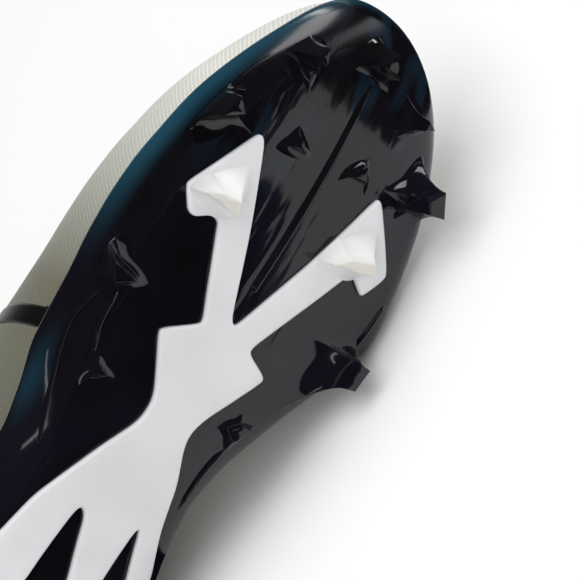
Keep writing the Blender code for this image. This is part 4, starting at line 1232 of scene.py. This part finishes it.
def coatedKnit(name, pale, dark, paintedWaistShade, inside):
    # knitted polyester under a thin clear skin: two sets of fine ribs that cross, with painted shade that
    # darkens it toward the waist and heel
    material, tree = newMaterial(name)
    cloth = addNode(tree, "ShaderNodeUVMap", uv_map="cloth")
    # 1 unit of cloth is 100 mm; Wave repeats every 0.314 units at scale 1, so 24 gives ribs 1.3 mm apart
    waves = []
    for angle in (28.0, -62.0):
        turned = addNode(tree, "ShaderNodeMapping", {"Rotation": (0.0, 0.0, math.radians(angle))},
                         {"Vector": cloth.outputs[0]})
        waves.append(addNode(tree, "ShaderNodeTexWave", {"Scale": 24.0, "Distortion": 0.5, "Detail": 1.0},
                             {"Vector": turned.outputs[0]}, bands_direction="X"))
    both = addNode(tree, "ShaderNodeMath", links={0: waves[0].outputs["Fac"], 1: waves[1].outputs["Fac"]},
                   operation="MAXIMUM")
    tone = addNode(tree, "ShaderNodeMapRange", {"From Min": 0.55, "From Max": 0.98},
                   {"Value": both.outputs[0]})
    yarn = addNode(tree, "ShaderNodeMix", {6: hexColour(dark), 7: hexColour(pale)}, {0: tone.outputs[0]},
                   data_type="RGBA")
    toeward = addNode(tree, "ShaderNodeAttribute", attribute_name="toeward").outputs["Fac"]
    # painted shade: the knit is darkened toward the waist and heel, where it lies in shade
    paintedShadeShare = addNode(tree, "ShaderNodeMapRange", {"From Min": 0.88, "From Max": 0.62, "To Max": 1.0},
                    {"Value": toeward})
    shaded = addNode(tree, "ShaderNodeMix", {7: hexColour(paintedWaistShade)},
                     {0: paintedShadeShare.outputs[0], 6: yarn.outputs[2]}, data_type="RGBA", blend_type="MULTIPLY")
    place = addNode(tree, "ShaderNodeTexCoord").outputs["Object"]
    cloud = addNode(tree, "ShaderNodeTexNoise", {"Scale": 18.0, "Detail": 2.0}, {"Vector": place})
    varied = addNode(tree, "ShaderNodeMix", {0: 0.10}, {6: shaded.outputs[2], 7: cloud.outputs["Color"]},
                     data_type="RGBA", blend_type="SOFT_LIGHT")
    lining = addNode(tree, "ShaderNodeAttribute", attribute_name="inside").outputs["Fac"]
    colour = addNode(tree, "ShaderNodeMix", {7: hexColour(inside)}, {0: lining, 6: varied.outputs[2]},
                     data_type="RGBA")
    bump = addNode(tree, "ShaderNodeBump", {"Strength": 0.4, "Distance": 0.0003}, {"Height": both.outputs[0]})
    shader = addNode(tree, "ShaderNodeBsdfPrincipled",
                     {"Roughness": 0.55, "IOR": 1.5, "Sheen Weight": 0.2, "Sheen Roughness": 0.5},
                     {"Base Color": colour.outputs[2], "Normal": bump.outputs[0]})
    addNode(tree, "ShaderNodeOutputMaterial", links={"Surface": shader.outputs[0]})
    return material


def plainFinish(name, hexCode, roughness, grain, strength):
    # one colour with a fine grain, given as grains to a metre: moulded foam 1.4 mm, spun thread 0.8 mm and
    # pressed film 2 mm, each coarser than the real one so that it shows
    material, tree = newMaterial(name)
    place = addNode(tree, "ShaderNodeTexCoord").outputs["Object"]
    noise = addNode(tree, "ShaderNodeTexNoise", {"Scale": grain, "Detail": 3.0}, {"Vector": place})
    colour = addNode(tree, "ShaderNodeMix", {0: 0.18, 6: hexColour(hexCode)}, {7: noise.outputs["Color"]},
                     data_type="RGBA", blend_type="SOFT_LIGHT")
    bump = addNode(tree, "ShaderNodeBump", {"Strength": strength, "Distance": 0.0003},
                   {"Height": noise.outputs["Fac"]})
    shader = addNode(tree, "ShaderNodeBsdfPrincipled", {"Roughness": roughness, "IOR": 1.48},
                     {"Base Color": colour.outputs[2], "Normal": bump.outputs[0]})
    addNode(tree, "ShaderNodeOutputMaterial", links={"Surface": shader.outputs[0]})
    return material


print("stage 9: pieces")
makePlate(mouldedTpuBlack())
makeSpine(mouldedTpuWhite())
# the fourth colour is painted shade, laid over the knit toward the waist and heel
knit = coatedKnit("coatedKnit", "#E3E3DD", "#C2C1B7", "#7C7A6A", "#B5B1A3")
makeUpper(knit)
makeTongue(coatedKnit("tongueKnit", "#D6D4CA", "#B4B2A6", "#FFFFFF", "#AAA697"))
makeInsole(plainFinish("mouldedFoam", "#232325", 0.9, 700.0, 0.4))
thread = plainFinish("polyesterThread", "#D9D5C6", 0.7, 1200.0, 0.3)
makeLace(thread)
makeEyelets(thread)
makeStitches(thread)
makeBand(plainFinish("pressedFilm", "#0B0C0D", 0.32, 500.0, 0.2))
